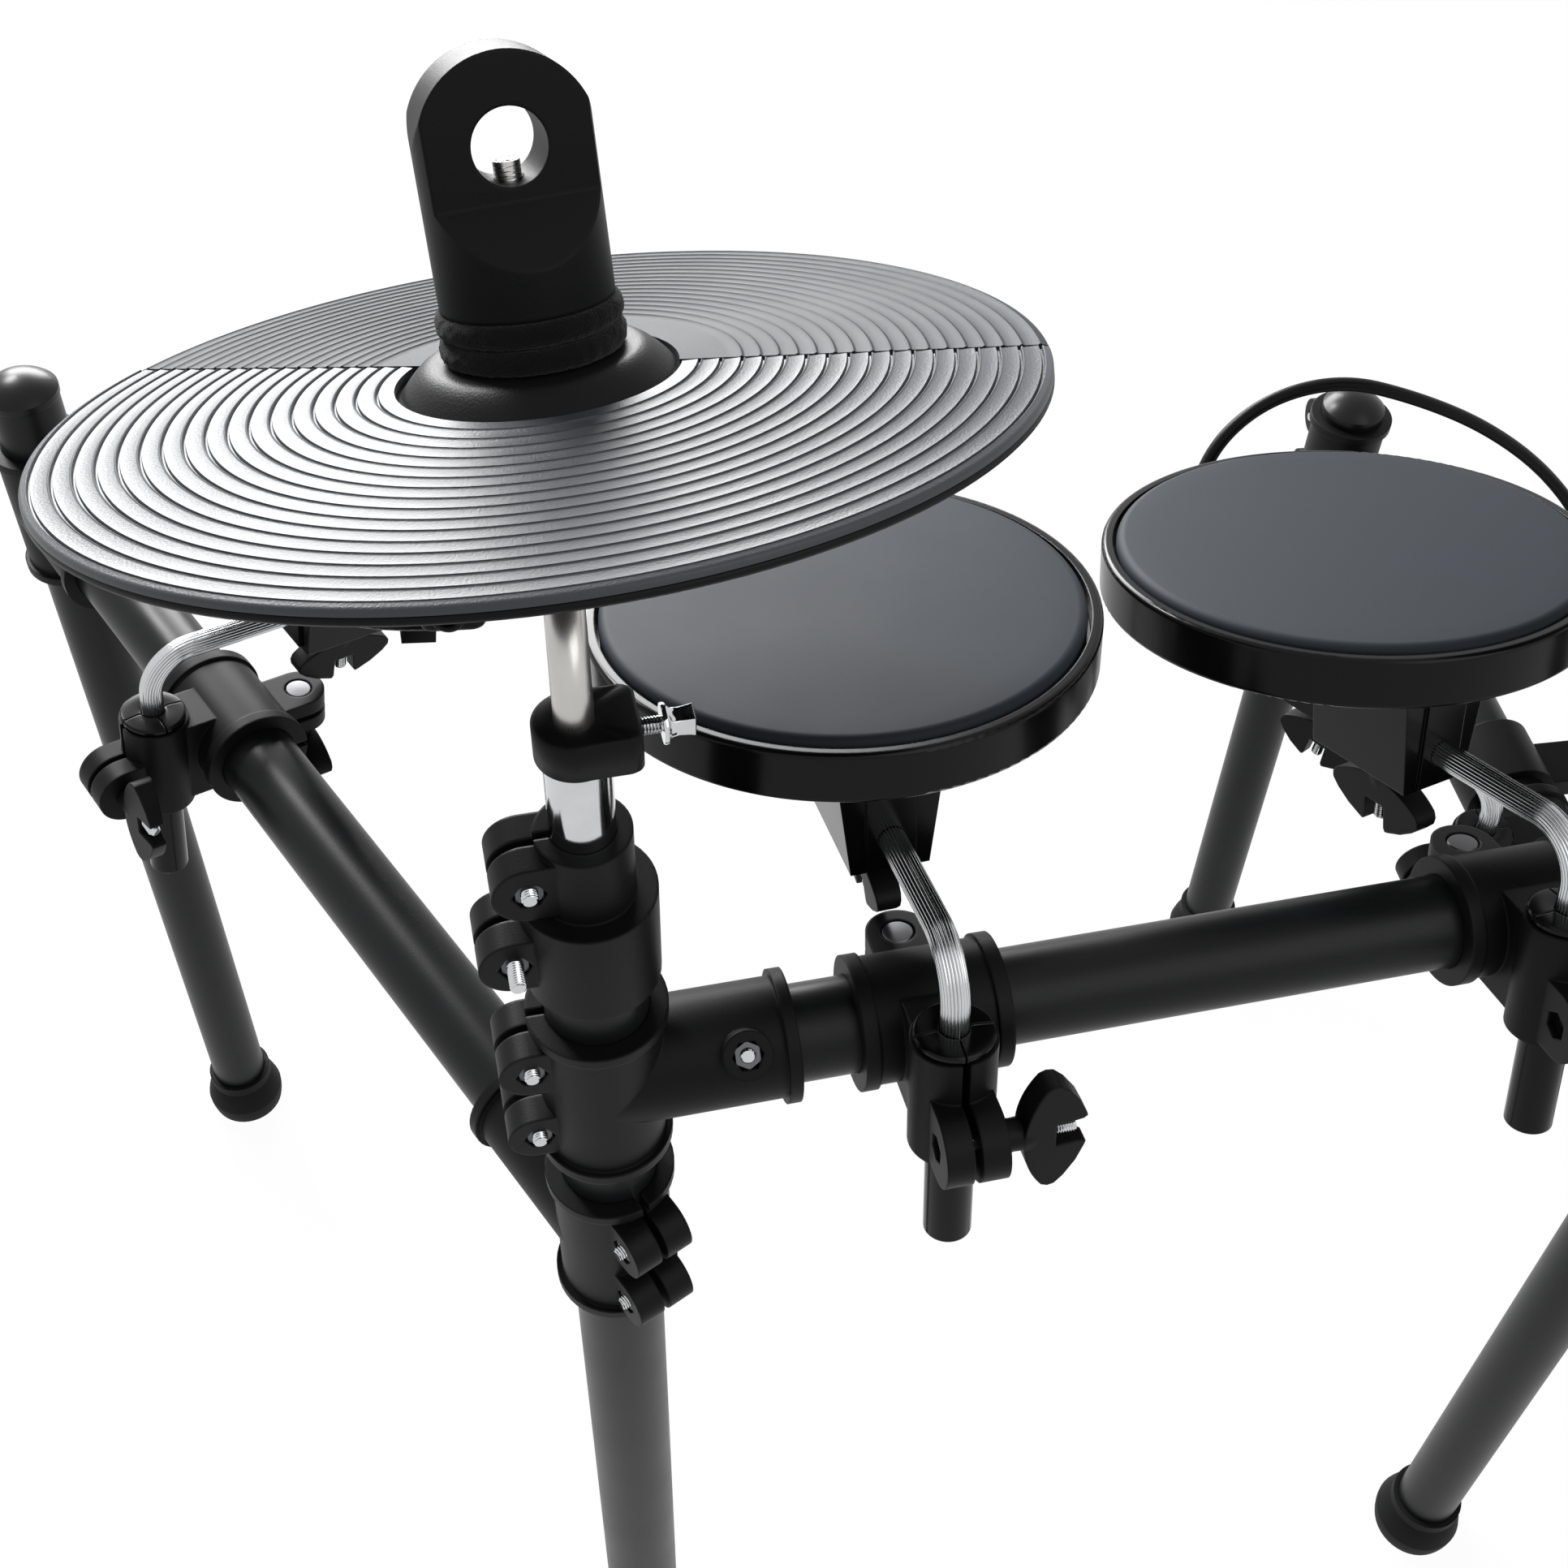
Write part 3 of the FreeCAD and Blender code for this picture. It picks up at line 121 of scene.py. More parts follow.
# Seats of the wing bolts: on the pad, on the clamp's rod block and under the clamp's closing ear
PAD_SCREW = (0, -36, -16.3)
ROD_SCREW = (12.3, -61, -10)
RAIL_SCREW = (0, EAR_SCREW, -9.8)
# Threads of the wing bolts, and the height that they reach in the grip's notch
WING_THREAD = {"dia": 6.2, "pitch": 1.0, "depth": 0.5}
WING_TOP = 28.5
# Height of the memory collars
COLLAR_SEAT = 894
# Heights over a cymbal's lowest face: the nut's seat and the foot of the stud's bare thread
NUT_SEAT = 34.1
STUD_SEAT = 66.0
# Cymbal: radii of the rim and the bell, height of the bow's top at the rim and its rise to the bell
RIM_RADIUS = 152.5
BELL_RADIUS = 42
RIM_TOP = 3.2
BOW_RISE = 6.0
FELT_THICK = 7.5
# Points round each groove of a pad rod and each flute of the knob
GROOVE_POINTS = 6
# The camera's place from the foot of the right post
CAMERA_PLACE = (
    (0.975425, 0.149046, -0.162270, -39.249),
    (-0.219136, 0.732893, -0.644086, -420.637),
    (0.022928, 0.663817, 0.747544, 1353.058),
    (0.0, 0.0, 0.0, 1.0),
)
# Each soft box's name, spot, the point that it faces, and its width and height, in metres
LAMPS = (
    ("key", (-0.35, 2.4, 1.45), (-0.25, -0.1, 0.95), (1.7, 1.1)),
    ("top", (-1.2, 1.95, 2.35), (-0.3, 0.0, 0.7), (0.55, 0.55)),
    ("fill", (0.9, -1.6, 2.4), (0.0, 0.0, 0.7), (1.8, 1.8)),
)
WHITE = (1.0, 1.0, 1.0, 1.0)

# Route of the lead from the high tom's plug to the module's plug, from the foot of the right post
LEAD_ROUTE = ORIGIN + np.array((
    (323.9, 133.1, 742.1), (315.6, 160.7, 733.6), (311.0, 190.0, 730.0), (312.0, 222.0, 742.0),
    (323.0, 243.0, 768.0), (349.0, 250.0, 790.0), (387.0, 251.0, 796.0), (429.0, 250.0, 780.0),
    (471.0, 250.0, 757.0), (511.0, 249.0, 726.0), (545.0, 247.0, 688.0), (567.0, 240.0, 642.0),
    (579.0, 227.0, 596.0), (587.0, 214.0, 550.0), (595.0, 201.0, 508.0), (612.0, 192.0, 485.0),
    (636.0, 178.0, 481.0), (656.0, 167.0, 498.0), (661.9, 161.2, 518.7), (652.6, 161.8, 538.6),
))


class KitSizes(bpy.types.PropertyGroup):
    """Sizes of the small parts."""

    bolt_dia: bpy.props.FloatProperty(
        name="Bolt", description="Diameter of the clamp bolts", default=0.006, unit="LENGTH")
    thread_pitch: bpy.props.FloatProperty(
        name="Thread pitch", description="Rise of a thread in one turn", default=0.001, unit="LENGTH")
    thread_depth: bpy.props.FloatProperty(
        name="Thread depth", description="Depth of a bolt's thread", default=0.0005, unit="LENGTH")
    knurl_count: bpy.props.IntProperty(
        name="Knurls", description="Grooves along a pad rod", default=24, min=8)
    knurl_depth: bpy.props.FloatProperty(
        name="Knurl depth", description="Depth of a pad rod's grooves", default=0.0005, unit="LENGTH")
    rib_count: bpy.props.IntProperty(
        name="Ribs", description="Ribs on a cymbal's rubber sector", default=17, min=2)
    groove_depth: bpy.props.FloatProperty(
        name="Groove depth", description="Depth between the ribs", default=0.0011, unit="LENGTH")
    lead_dia: bpy.props.FloatProperty(
        name="Lead", description="Diameter of the lead", default=0.0064, unit="LENGTH")


class KitColours(bpy.types.PropertyGroup):
    """Colours of the finishes."""

    tube: bpy.props.FloatVectorProperty(
        name="Tube", description="Coat of the rack", default=(0.010, 0.0105, 0.0115), subtype="COLOR")
    moulding: bpy.props.FloatVectorProperty(
        name="Moulding", description="Clamps and tees", default=(0.0065, 0.0067, 0.0072), subtype="COLOR")
    gloss: bpy.props.FloatVectorProperty(
        name="Gloss", description="Pad shells", default=(0.0035, 0.0036, 0.004), subtype="COLOR")
    pad_rubber: bpy.props.FloatVectorProperty(
        name="Pad rubber", description="Playing heads", default=(0.022, 0.027, 0.034), subtype="COLOR")
    cymbal: bpy.props.FloatVectorProperty(
        name="Cymbal", description="Cymbal plastic", default=(0.027, 0.031, 0.036), subtype="COLOR")
    cymbal_rubber: bpy.props.FloatVectorProperty(
        name="Cymbal rubber", description="Ribbed sector", default=(0.046, 0.051, 0.058), subtype="COLOR")
    chrome: bpy.props.FloatVectorProperty(
        name="Chrome", description="Plated rods and screws", default=(0.57, 0.58, 0.59), subtype="COLOR")
    steel: bpy.props.FloatVectorProperty(
        name="Steel", description="Satin cymbal rods", default=(0.52, 0.51, 0.49), subtype="COLOR")
    felt: bpy.props.FloatVectorProperty(
        name="Felt", description="Felt washers", default=(0.006, 0.006, 0.0065), subtype="COLOR")


class KitStage(bpy.types.PropertyGroup):
    """Light and floor."""

    key_power: bpy.props.FloatProperty(
        name="Key", description="Power of the soft box behind the kit", default=125.0, unit="POWER")
    top_power: bpy.props.FloatProperty(
        name="Top", description="Power of the soft box above the kit", default=70.0, unit="POWER")
    fill_power: bpy.props.FloatProperty(
        name="Fill", description="Power of the soft box above the camera", default=14.0, unit="POWER")
    ambient: bpy.props.FloatProperty(
        name="Ambient", description="Strength of the surrounding light", default=0.2, min=0.0)
    floor: bpy.props.FloatVectorProperty(
        name="Floor", description="Colour of the floor", default=(0.86, 0.86, 0.86), subtype="COLOR")


def shift(x=0.0, y=0.0, z=0.0):
    """A place that only moves, in millimetres."""
    place = np.eye(4)
    place[:3, 3] = (x, y, z)
    return place


def turn(axis, degrees):
    """A place that only turns about the x, y or z axis through the origin."""
    i, j = {"x": (1, 2), "y": (2, 0), "z": (0, 1)}[axis]
    angle = math.radians(degrees)
    place = np.eye(4)
    place[[i, j], [i, j]] = math.cos(angle)
    place[i, j] = -math.sin(angle)
    place[j, i] = math.sin(angle)
    return place


def axes_place(x, y, z, spot):
    """A place with its three axes and its origin given."""
    place = np.eye(4)
    place[:3] = np.column_stack([x, y, z, spot])
    return place


def framed(joint, z_axis, x_axis=None, y_axis=None):
    """A place at a joint with its z axis, and its x or y axis, given; the third follows from them."""
    z = np.array(z_axis, float)
    if x_axis is not None:
        y = np.cross(z, x_axis)
        y = y / np.linalg.norm(y)
    else:
        y = np.array(y_axis, float)
    return axes_place(np.cross(y, z), y, z, np.array(JOINTS[joint]["pos_m"]) / MM)


def axis_of(joint):
    """A joint's axis."""
    return JOINTS[joint]["axis"]


def clamp_place(pad):
    """A rail clamp's place: x along the rail, y towards the rail's closing ear, z up its rod."""
    rod = framed(pad + "_swivel", axis_of(pad + "_swivel"), x_axis=axis_of(pad + "_rod_screw_turn"))
    return rod @ shift(0, ROD_OFFSET, 0)


def bush_place(pad):
    """The place of a pad rod's upright leg, turned with its clamp."""
    return clamp_place(pad) @ shift(0, -ROD_OFFSET, 0)


def pad_place(pad):
    """A pad's place: y along its rod, z up, at the rod's height."""
    level = framed(pad + "_tilt", axis_of(pad + "_swivel"), y_axis=axis_of(pad + "_tilt"))
    return level @ turn("y", REST_TILT.get(pad, 0.0))


def wing_places(pad):
    """Places of a pad's wing bolts: z along the screw towards the grip, x along the grip."""
    pad_screw = pad_place(pad) @ shift(*PAD_SCREW) @ turn("x", 180) @ turn("z", 90)
    rod_screw = clamp_place(pad) @ shift(*ROD_SCREW) @ turn("y", 90)
    rail_screw = clamp_place(pad) @ shift(*RAIL_SCREW) @ turn("x", 180)
    return pad_screw, rod_screw, rail_screw


def rod_place(pad):
    """A pad rod's place: z up its upright leg, y towards the pad."""
    return framed(pad + "_swivel", axis_of(pad + "_swivel"), y_axis=axis_of(pad + "_tilt"))


def cymbal_place(name):
    """A cymbal's place: z up its axis from the rim's underside, x across it."""
    seat = framed(name + "_nut_turn", axis_of(name + "_nut_turn"), x_axis=axis_of(name + "_rock"))
    return seat @ shift(0, 0, -NUT_SEAT)


class Shape:
    """Points in millimetres and faces, which can be placed and added up."""

    def __init__(self, points, faces):
        self.points = points
        self.faces = faces

    def __add__(self, other):
        moved = [[index + len(self.points) for index in face] for face in other.faces]
        return Shape(np.concatenate([self.points, other.points]), self.faces + moved)

    def at(self, place):
        """The shape carried to a place."""
        return Shape(self.points @ place[:3, :3].T + place[:3, 3], self.faces)


def joined(shapes):
    """All the shapes as one."""
    whole = shapes[0]
    for shape in shapes[1:]:
        whole = whole + shape
    return whole


def loft(rings, ends=True):
    """The surface through closed rings of points, an array of rings by points by xyz, with flat ends."""
    rows, columns = rings.shape[:2]
    row, column = np.meshgrid(np.arange(rows - 1), np.arange(columns), indexing="ij")
    here = row * columns + column
    beside = row * columns + (column + 1) % columns
    quads = np.stack([here, beside, beside + columns, here + columns], -1)
    faces = quads.reshape(-1, 4).tolist()
    if ends:
        faces.append(list(range(columns))[::-1])
        faces.append(list(range((rows - 1) * columns, rows * columns)))
    return Shape(rings.reshape(-1, 3), faces)


def circle(count):
    """Angles round a full turn."""
    return np.linspace(0.0, 2.0 * np.pi, count, endpoint=False)


def turned_rings(profile, count):
    """Rings about the axis: each (r, z) of the profile becomes (r cos t, r sin t, z)."""
    r, z = np.array(profile, float).T
    t = circle(count)
    return np.stack([np.outer(r, np.cos(t)), np.outer(r, np.sin(t)), np.outer(z, np.ones(count))], -1)


def turned(profile, count):
    """A body of revolution: the profile of (r, z) points is carried once round the axis."""
    return loft(turned_rings(profile, count))


def turned_tube(loop, count):
    """A ring-shaped body: the closed loop of (r, z) points is carried once round the axis."""
    return loft(turned_rings([*loop, loop[0]], count), ends=False)


def sector(loop, half_angles, count):
    """A slice of a ring: the loop of (r, z) points is carried from -a to a, each point with its own a."""
    r, z = np.array(loop, float).T
    t = np.outer(np.linspace(-1.0, 1.0, count), half_angles)
    rings = np.stack([r * np.cos(t), r * np.sin(t), np.broadcast_to(z, t.shape)], -1)
    return loft(rings)


def prism(outline, heights, scales):
    """A bar along z: the outline of (x, y) points, scaled at each height."""
    flat = np.array(outline, float)
    return stacked([flat * scale for scale in scales], heights)


def stacked(outlines, heights):
    """A bar along z through outlines of (x, y) points, each at its own height."""
    rings = [np.column_stack([flat, np.full(len(flat), z)]) for flat, z in zip(outlines, heights)]
    return loft(np.array(rings))


def round_points(t):
    """Points (cos t, sin t) of the unit circle."""
    return np.column_stack([np.cos(t), np.sin(t)])


def polygon(sides, radius):
    """Corners of a regular polygon."""
    return round_points(circle(sides)) * radius


def rounded_box(length, width, corner, count=6):
    """The outline of a rectangle with round corners."""
    arc = round_points(np.linspace(0.0, np.pi / 2, count)) * corner
    x, y = length / 2 - corner, width / 2 - corner
    spots = ((x, y), (-x, y), (-x, -y), (x, -y))
    quarter_turn = np.array(((0, -1), (1, 0)))
    ways = [np.linalg.matrix_power(quarter_turn, turns) for turns in range(4)]
    return np.concatenate([arc @ way.T + spot for way, spot in zip(ways, spots)])


def threaded(dia, length, pitch, depth, count=20):
    """A threaded bar along z: r = R - d |2 f - 1|, where f is the fraction of z / pitch - t / 2 pi."""
    steps_per_turn = 6
    z = np.linspace(0.0, length, int(length / pitch * steps_per_turn) + 1)
    t = circle(count)
    phase = (z[:, None] / pitch - t[None, :] / (2 * np.pi)) % 1.0
    r = dia / 2 - depth * np.abs(2 * phase - 1)
    taper = np.clip((length - z) / pitch, 0.0, 1.0)[:, None]
    r = r - depth * (1 - taper)
    rings = np.stack([r * np.cos(t), r * np.sin(t), np.broadcast_to(z[:, None], r.shape)], -1)
    return loft(rings)


def collar_ring(bore, outline, heights, rounding):
    """A collar along z with a round bore; its outer radius at each angle comes from a closed outline."""
    t = np.arctan2(outline[:, 1], outline[:, 0])
    r = np.linalg.norm(outline, axis=1)
    low, top = heights
    hole = np.full(len(t), bore)
    rows = [(hole, low), (r - rounding, low), (r, low + rounding)]
    rows += [(r, top - rounding), (r - rounding, top), (hole, top), (hole, low)]
    rings = [np.column_stack([round_points(t) * radius[:, None], np.full(len(t), z)]) for radius, z in rows]
    return loft(np.array(rings), ends=False)


def swept(path, section, reference):
    """A section of (u, v) points carried along a path; u lies across the path and the reference."""
    line = np.array(path, float)
    along = np.gradient(line, axis=0)
    along /= np.linalg.norm(along, axis=1)[:, None]
    side = np.cross(along, reference)
    side /= np.linalg.norm(side, axis=1)[:, None]
    up = np.cross(side, along)
    rings = line[:, None] + section[None, :, :1] * side[:, None] + section[None, :, 1:] * up[:, None]
    return loft(rings)


class Value:
    """A shader socket; arithmetic on it adds Math nodes to its finish."""

    def __init__(self, finish, socket):
        self.finish = finish
        self.socket = socket

    def math(self, operation, first, second):
        """The result of a Math node."""
        return self.finish.add("ShaderNodeMath", {"operation": operation}, {0: first, 1: second})

    def __add__(self, other):
        return self.math("ADD", self, other)

    def __sub__(self, other):
        return self.math("SUBTRACT", self, other)

    def __rsub__(self, other):
        return self.math("SUBTRACT", other, self)

    def __mul__(self, other):
        return self.math("MULTIPLY", self, other)

    __radd__ = __add__
    __rmul__ = __mul__


class Network:
    """The nodes of a material or a world."""

    def __init__(self, owner):
        owner.use_nodes = True
        self.tree = owner.node_tree
        self.tree.nodes.clear()

    def add(self, kind, settings=None, inputs=None, output=0):
        """A node of any kind: its settings first, then the values or links of its sockets."""
        made = self.tree.nodes.new(kind)
        for key, value in (settings or {}).items():
            setattr(made, key, value)
        for key, value in (inputs or {}).items():
            if isinstance(value, Value):
                self.tree.links.new(value.socket, made.inputs[key])
            else:
                made.inputs[key].default_value = value
        return Value(self, made.outputs[output])

    def backdrop_ray(self):
        """1 for rays that show the backdrop: to the camera, off a shiny surface or through a clear one."""
        camera, shiny, clear = (self.add("ShaderNodeLightPath", output="Is %s Ray" % kind)
                                for kind in ("Camera", "Glossy", "Transmission"))
        return camera.math("MAXIMUM", camera, shiny.math("MAXIMUM", shiny, clear))


class Finish(Network):
    """A material: its nodes, and the Principled shader that they feed."""

    made = {}

    def __init__(self, name, constants):
        self.material = bpy.data.materials.new(name)
        super().__init__(self.material)
        self.shader = self.tree.nodes.new("ShaderNodeBsdfPrincipled")
        self.output = self.tree.nodes.new("ShaderNodeOutputMaterial")
        self.tree.links.new(self.shader.outputs[0], self.output.inputs[0])
        for socket, value in constants.items():
            self.shader.inputs[socket].default_value = value
        Finish.made[name] = self.material

    def feed(self, socket, value):
        """Links a value to the shader."""
        self.tree.links.new(value.socket, self.shader.inputs[socket])

    def place(self):
        """The point on the object, in metres."""
        return self.add("ShaderNodeTexCoord", output="Object")

    def noise(self, size, detail=2.0, stretch=None):
        """Noise from 0 to 1 with grains of a size in metres, stretched along x, y and z."""
        point = self.place()
        if stretch is not None:
            scaling = {"Vector": point, "Scale": stretch}
            point = self.add("ShaderNodeMapping", {"vector_type": "POINT"}, scaling, "Vector")
        inputs = {"Vector": point, "Scale": 1.0 / size, "Detail": detail, "Roughness": 0.55}
        return self.add("ShaderNodeTexNoise", {"noise_dimensions": "3D"}, inputs, "Fac")

    def mixed(self, share, first, second):
        """Two colours mixed by a share."""
        return self.add("ShaderNodeMix", {"data_type": "RGBA"}, {0: share, 6: first, 7: second}, 2)

    def rounded(self, radius):
        """The normal with edges rounded by a radius in metres."""
        return self.add("ShaderNodeBevel", {"samples": 6}, {"Radius": radius}, "Normal")

    def bump(self, height, depth, normal=None):
        """The normal of a surface that stands up by height times depth in metres."""
        inputs = {"Height": height, "Distance": depth, "Strength": 1.0}
        if normal is not None:
            inputs["Normal"] = normal
        return self.add("ShaderNodeBump", None, inputs, "Normal")


def tinted(colour, factor):
    """A colour made lighter or darker, with alpha."""
    return tuple(channel * factor for channel in colour) + (1.0,)


def grained(name, colour, roughness, grain, depth,
            edge=0.0, spread=0.06, tone=0.25, specular=0.10, sheen=0.0):
    """A moulded or coated surface: fine grain, uneven gloss, slight changes of tone and rounded edges.

    The grain's size and depth and the edges' radius are in metres; spread is how far the roughness strays.
    """
    finish = Finish(name, {"Specular IOR Level": specular, "Sheen Weight": sheen})
    fine = finish.noise(grain)
    broad = finish.noise(size=0.045, detail=4.0)
    finish.feed("Base Color", finish.mixed(broad, tinted(colour, 1.0 - tone), tinted(colour, 1.0 + tone)))
    finish.feed("Roughness", (broad - 0.5) * spread * 2 + (fine - 0.5) * spread + roughness)
    finish.feed("Normal", finish.bump(fine, depth, finish.rounded(edge) if edge else None))


def plated(name, colour, roughness, stretch=(1.0, 1.0, 1.0), scratch=0.0004, depth=0.00001):
    """A metal surface: drawn scratches of a size and depth in metres, and a slightly cloudy gloss."""
    scratch_spread, cloud_spread = 0.12, 0.08
    finish = Finish(name, {"Metallic": 1.0})
    lines = finish.noise(scratch, detail=3.0, stretch=stretch)
    cloud = finish.noise(size=0.012, detail=3.0)
    finish.feed("Base Color", finish.mixed(cloud, tinted(colour, 0.88), tinted(colour, 1.08)))
    finish.feed("Roughness", (lines - 0.5) * scratch_spread + (cloud - 0.5) * cloud_spread + roughness)
    finish.feed("Normal", finish.bump(lines, depth))


def piece(name, shape, body, finish, replaces=(), sharp=38.0):
    """Writes a shape as an object that rides on a body; edges over an angle in degrees stay sharp."""
    made = meshed(name, shape, sharp)
    dressed(made, finish)
    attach(made, body)
    if replaces:
        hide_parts(*replaces)
    return made


def meshed(name, shape, sharp=38.0):
    """A shape as a mesh object: doubles merged, faces turned outwards, smooth but for sharp edges."""
    double_distance = 1e-6
    mesh = bpy.data.meshes.new(name)
    mesh.from_pydata((shape.points * MM).tolist(), [], shape.faces)
    work = bmesh.new()
    work.from_mesh(mesh)
    bmesh.ops.remove_doubles(work, verts=work.verts, dist=double_distance)
    bmesh.ops.recalc_face_normals(work, faces=work.faces)
    work.to_mesh(mesh)
    work.free()
    mesh.shade_smooth()
    mesh.set_sharp_from_angle(angle=math.radians(sharp))
    made = bpy.data.objects.new(name, mesh)
    bpy.context.scene.collection.objects.link(made)
    return made


def dressed(thing, finish):
    """Gives an object the finish of a name."""
    thing.data.materials.clear()
    thing.data.materials.append(Finish.made[finish])


def eased(thing, width, sharpest=35):
    """Rounds the edges of a piece that are sharper than an angle in degrees."""
    edge = thing.modifiers.new("eased", "BEVEL")
    edge.width = width * MM
    edge.segments = 2
    edge.limit_method = "ANGLE"
    edge.angle_limit = math.radians(sharpest)
    edge.harden_normals = True


class KitOperator(bpy.types.Operator):
    """What all the operators share."""

    bl_idname = "drum_kit.base"
    bl_label = "Drum kit part"

    def settings(self, context):
        scene = context.scene
        return scene.kit_sizes, scene.kit_colours, scene.kit_stage


class MakeFinishes(KitOperator):
    """Makes the finishes and gives them to the pieces that keep their shape"""

    bl_idname = "drum_kit.finishes"
    bl_label = "Finishes"

    def execute(self, context):
        colours = self.settings(context)[1]
        glass, control = (0.012, 0.016, 0.02), (0.035, 0.036, 0.038)
        mark, nut = (0.6, 0.6, 0.58), (0.10, 0.10, 0.105)
        # Colour, roughness, size and depth of the grain, and what departs from the usual
        grained("powder_coat", colours.tube, 0.36, 0.0005, 0.00004, edge=0.0006, specular=0.16)
        grained("nylon", colours.moulding, 0.46, 0.0006, 0.00006, edge=0.0014)
        grained("gloss_plastic", colours.gloss, 0.20, 0.0009, 0.000006, edge=0.0008, spread=0.04, tone=0.2,
                specular=0.14)
        grained("cap_plastic", colours.moulding, 0.32, 0.0008, 0.00002, edge=0.0008, spread=0.05,
                specular=0.2)
        grained("foot_rubber", colours.moulding, 0.62, 0.0012, 0.00005, edge=0.0012)
        grained("pad_rubber", colours.pad_rubber, 0.62, 0.00055, 0.00005, spread=0.05, tone=0.12,
                specular=0.14)
        grained("bell_plastic", colours.moulding, 0.42, 0.0008, 0.00010)
        grained("cymbal_plastic", colours.cymbal, 0.54, 0.0006, 0.00006, spread=0.05, tone=0.12)
        grained("cymbal_rubber", colours.cymbal_rubber, 0.46, 0.0008, 0.00012, tone=0.15, specular=0.4)
        grained("felt", colours.felt, 0.95, 0.0007, 0.0005, spread=0.03, tone=0.5, specular=0.15,
                sheen=0.15)
        grained("lead_jacket", colours.moulding, 0.42, 0.0015, 0.00003)
        grained("module_plastic", colours.moulding, 0.50, 0.0007, 0.00006, edge=0.0015)
        grained("display_glass", glass, 0.10, 0.004, 0.000001, spread=0.02)
        grained("control_plastic", control, 0.48, 0.0006, 0.00005, edge=0.0008)
        grained("pale_mark", mark, 0.5, 0.0006, 0.00002)
        # Colour, roughness, and the stretch, size and depth of the scratches
        plated("chrome", colours.chrome, 0.10)
        plated("rod_chrome", colours.chrome, 0.20, (1.0, 1.0, 0.08), 0.0005, 0.00002)
        plated("satin_steel", colours.steel, 0.30, (1.0, 1.0, 0.15), 0.0005, 0.00002)
        plated("dark_steel", nut, 0.36)
        finishes = {
            "powder_coat": ("front_posts", "rear_posts", "right_rail", "left_rail", "front_rail"),
            "nylon": ("front_tees", "corner_tees", "rear_tees", "arm_clamps",
                      "module_bracket", "ride_nut", "crash_nut", *(pad + "_clamp" for pad in PADS)),
            "cap_plastic": ("post_caps",),
            "foot_rubber": ("rubber_feet", "tom_plug", "module_plug"),
            "chrome": ("arm_tubes",),
            "satin_steel": ("ride_rod", "crash_rod"),
            "gloss_plastic": tuple(pad + "_shell" for pad in PADS),
            "module_plastic": ("module_case",),
            "display_glass": ("module_display",),
            "control_plastic": ("down_button", "start_button", "up_button"),
        }
        for finish, names in finishes.items():
            for name in names:
                dressed(NODES[name], finish)
        return {"FINISHED"}


class MakeLead(KitOperator):
    """Makes the lead from the high tom to the module as a smooth tube along its route"""

    bl_idname = "drum_kit.lead"
    bl_label = "Lead"

    def execute(self, context):
        sizes = self.settings(context)[0]
        line = bpy.data.curves.new("lead_route", "CURVE")
        line.dimensions = "3D"
        line.resolution_u = 12
        spline = line.splines.new("NURBS")
        spline.points.add(len(LEAD_ROUTE) - 1)
        weighted = np.column_stack([LEAD_ROUTE * MM, np.ones(len(LEAD_ROUTE))])
        spline.points.foreach_set("co", weighted.ravel())
        spline.order_u = 3
        spline.use_endpoint_u = True
        holder = bpy.data.objects.new("lead_route", line)
        context.scene.collection.objects.link(holder)
        mesh = bpy.data.meshes.new_from_object(holder)
        path = np.empty(len(mesh.vertices) * 3)
        mesh.vertices.foreach_get("co", path)
        path = path.reshape(-1, 3)
        bpy.data.objects.remove(holder)
        bpy.data.meshes.remove(mesh)
        section = polygon(sides=20, radius=sizes.lead_dia / MM / 2)
        lead = meshed("tom_lead_tube", swept(path / MM, section, reference=(0.0, 1.0, 0.0)))
        dressed(lead, "lead_jacket")
        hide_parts("tom_lead")
        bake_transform(lead)
        return {"FINISHED"}


class MakeCymbals(KitOperator):
    """Makes the bow and bell, the ribbed rubber sector and the ringed plastic sector of each cymbal"""

    bl_idname = "drum_kit.cymbals"
    bl_label = "Cymbals"

    def execute(self, context):
        sizes = self.settings(context)[0]
        sector_turn, sharp = 30, 50.0
        for name, side in CYMBALS.items():
            body = name + "_cymbal"
            place = cymbal_place(name) @ turn("z", -sector_turn * side) @ turn("z", -90)
            bow = bow_shape().at(place)
            piece(name + "_bow", bow, body, "bell_plastic", [name + "_base"], sharp)
            rings = ringed_sector(sizes.rib_count).at(place @ turn("z", 180))
            piece(name + "_rings", rings, body, "cymbal_plastic", (), sharp)
            rubber = ribbed_sector(sizes.rib_count, sizes.groove_depth / MM).at(place)
            piece(name + "_ribs", rubber, body, "cymbal_rubber", [name + "_rubber"], sharp)
        return {"FINISHED"}


def bow_shape():
    """The cymbal's plate, turned: rounded rim, straight bow, domed bell and a hole for the stud."""
    taper, foot, rise, wall, inset = 12, 9.2, 9.0, 3.2, 1.5
    t = np.linspace(0.0, 1.0, 12)
    bell_r = BELL_RADIUS - taper * t
    bell_z = foot + rise * np.sin(t * np.pi / 2)
    rim = [(151.6, 0.4), (RIM_RADIUS, 1.3), (RIM_RADIUS, 2.6), (151.9, RIM_TOP)]
    bell = list(zip(bell_r, bell_z))
    hole = [(24, 18.2), (6.5, 18.2), (6.5, 15.0), (27, 15.0)]
    hollow = list(zip(bell_r[::-1] - inset, bell_z[::-1] - wall))
    underside = [(44, 5.8), (146.5, 0.0), (150.4, 0.0)]
    return turned_tube(rim + bell + hole + hollow + underside, count=160)


def crown_height(r):
    """Height of the top of the bow under a sector: it rises evenly from the rim to the bell."""
    return RIM_TOP + BOW_RISE * (RIM_RADIUS - r) / (RIM_RADIUS - BELL_RADIUS)


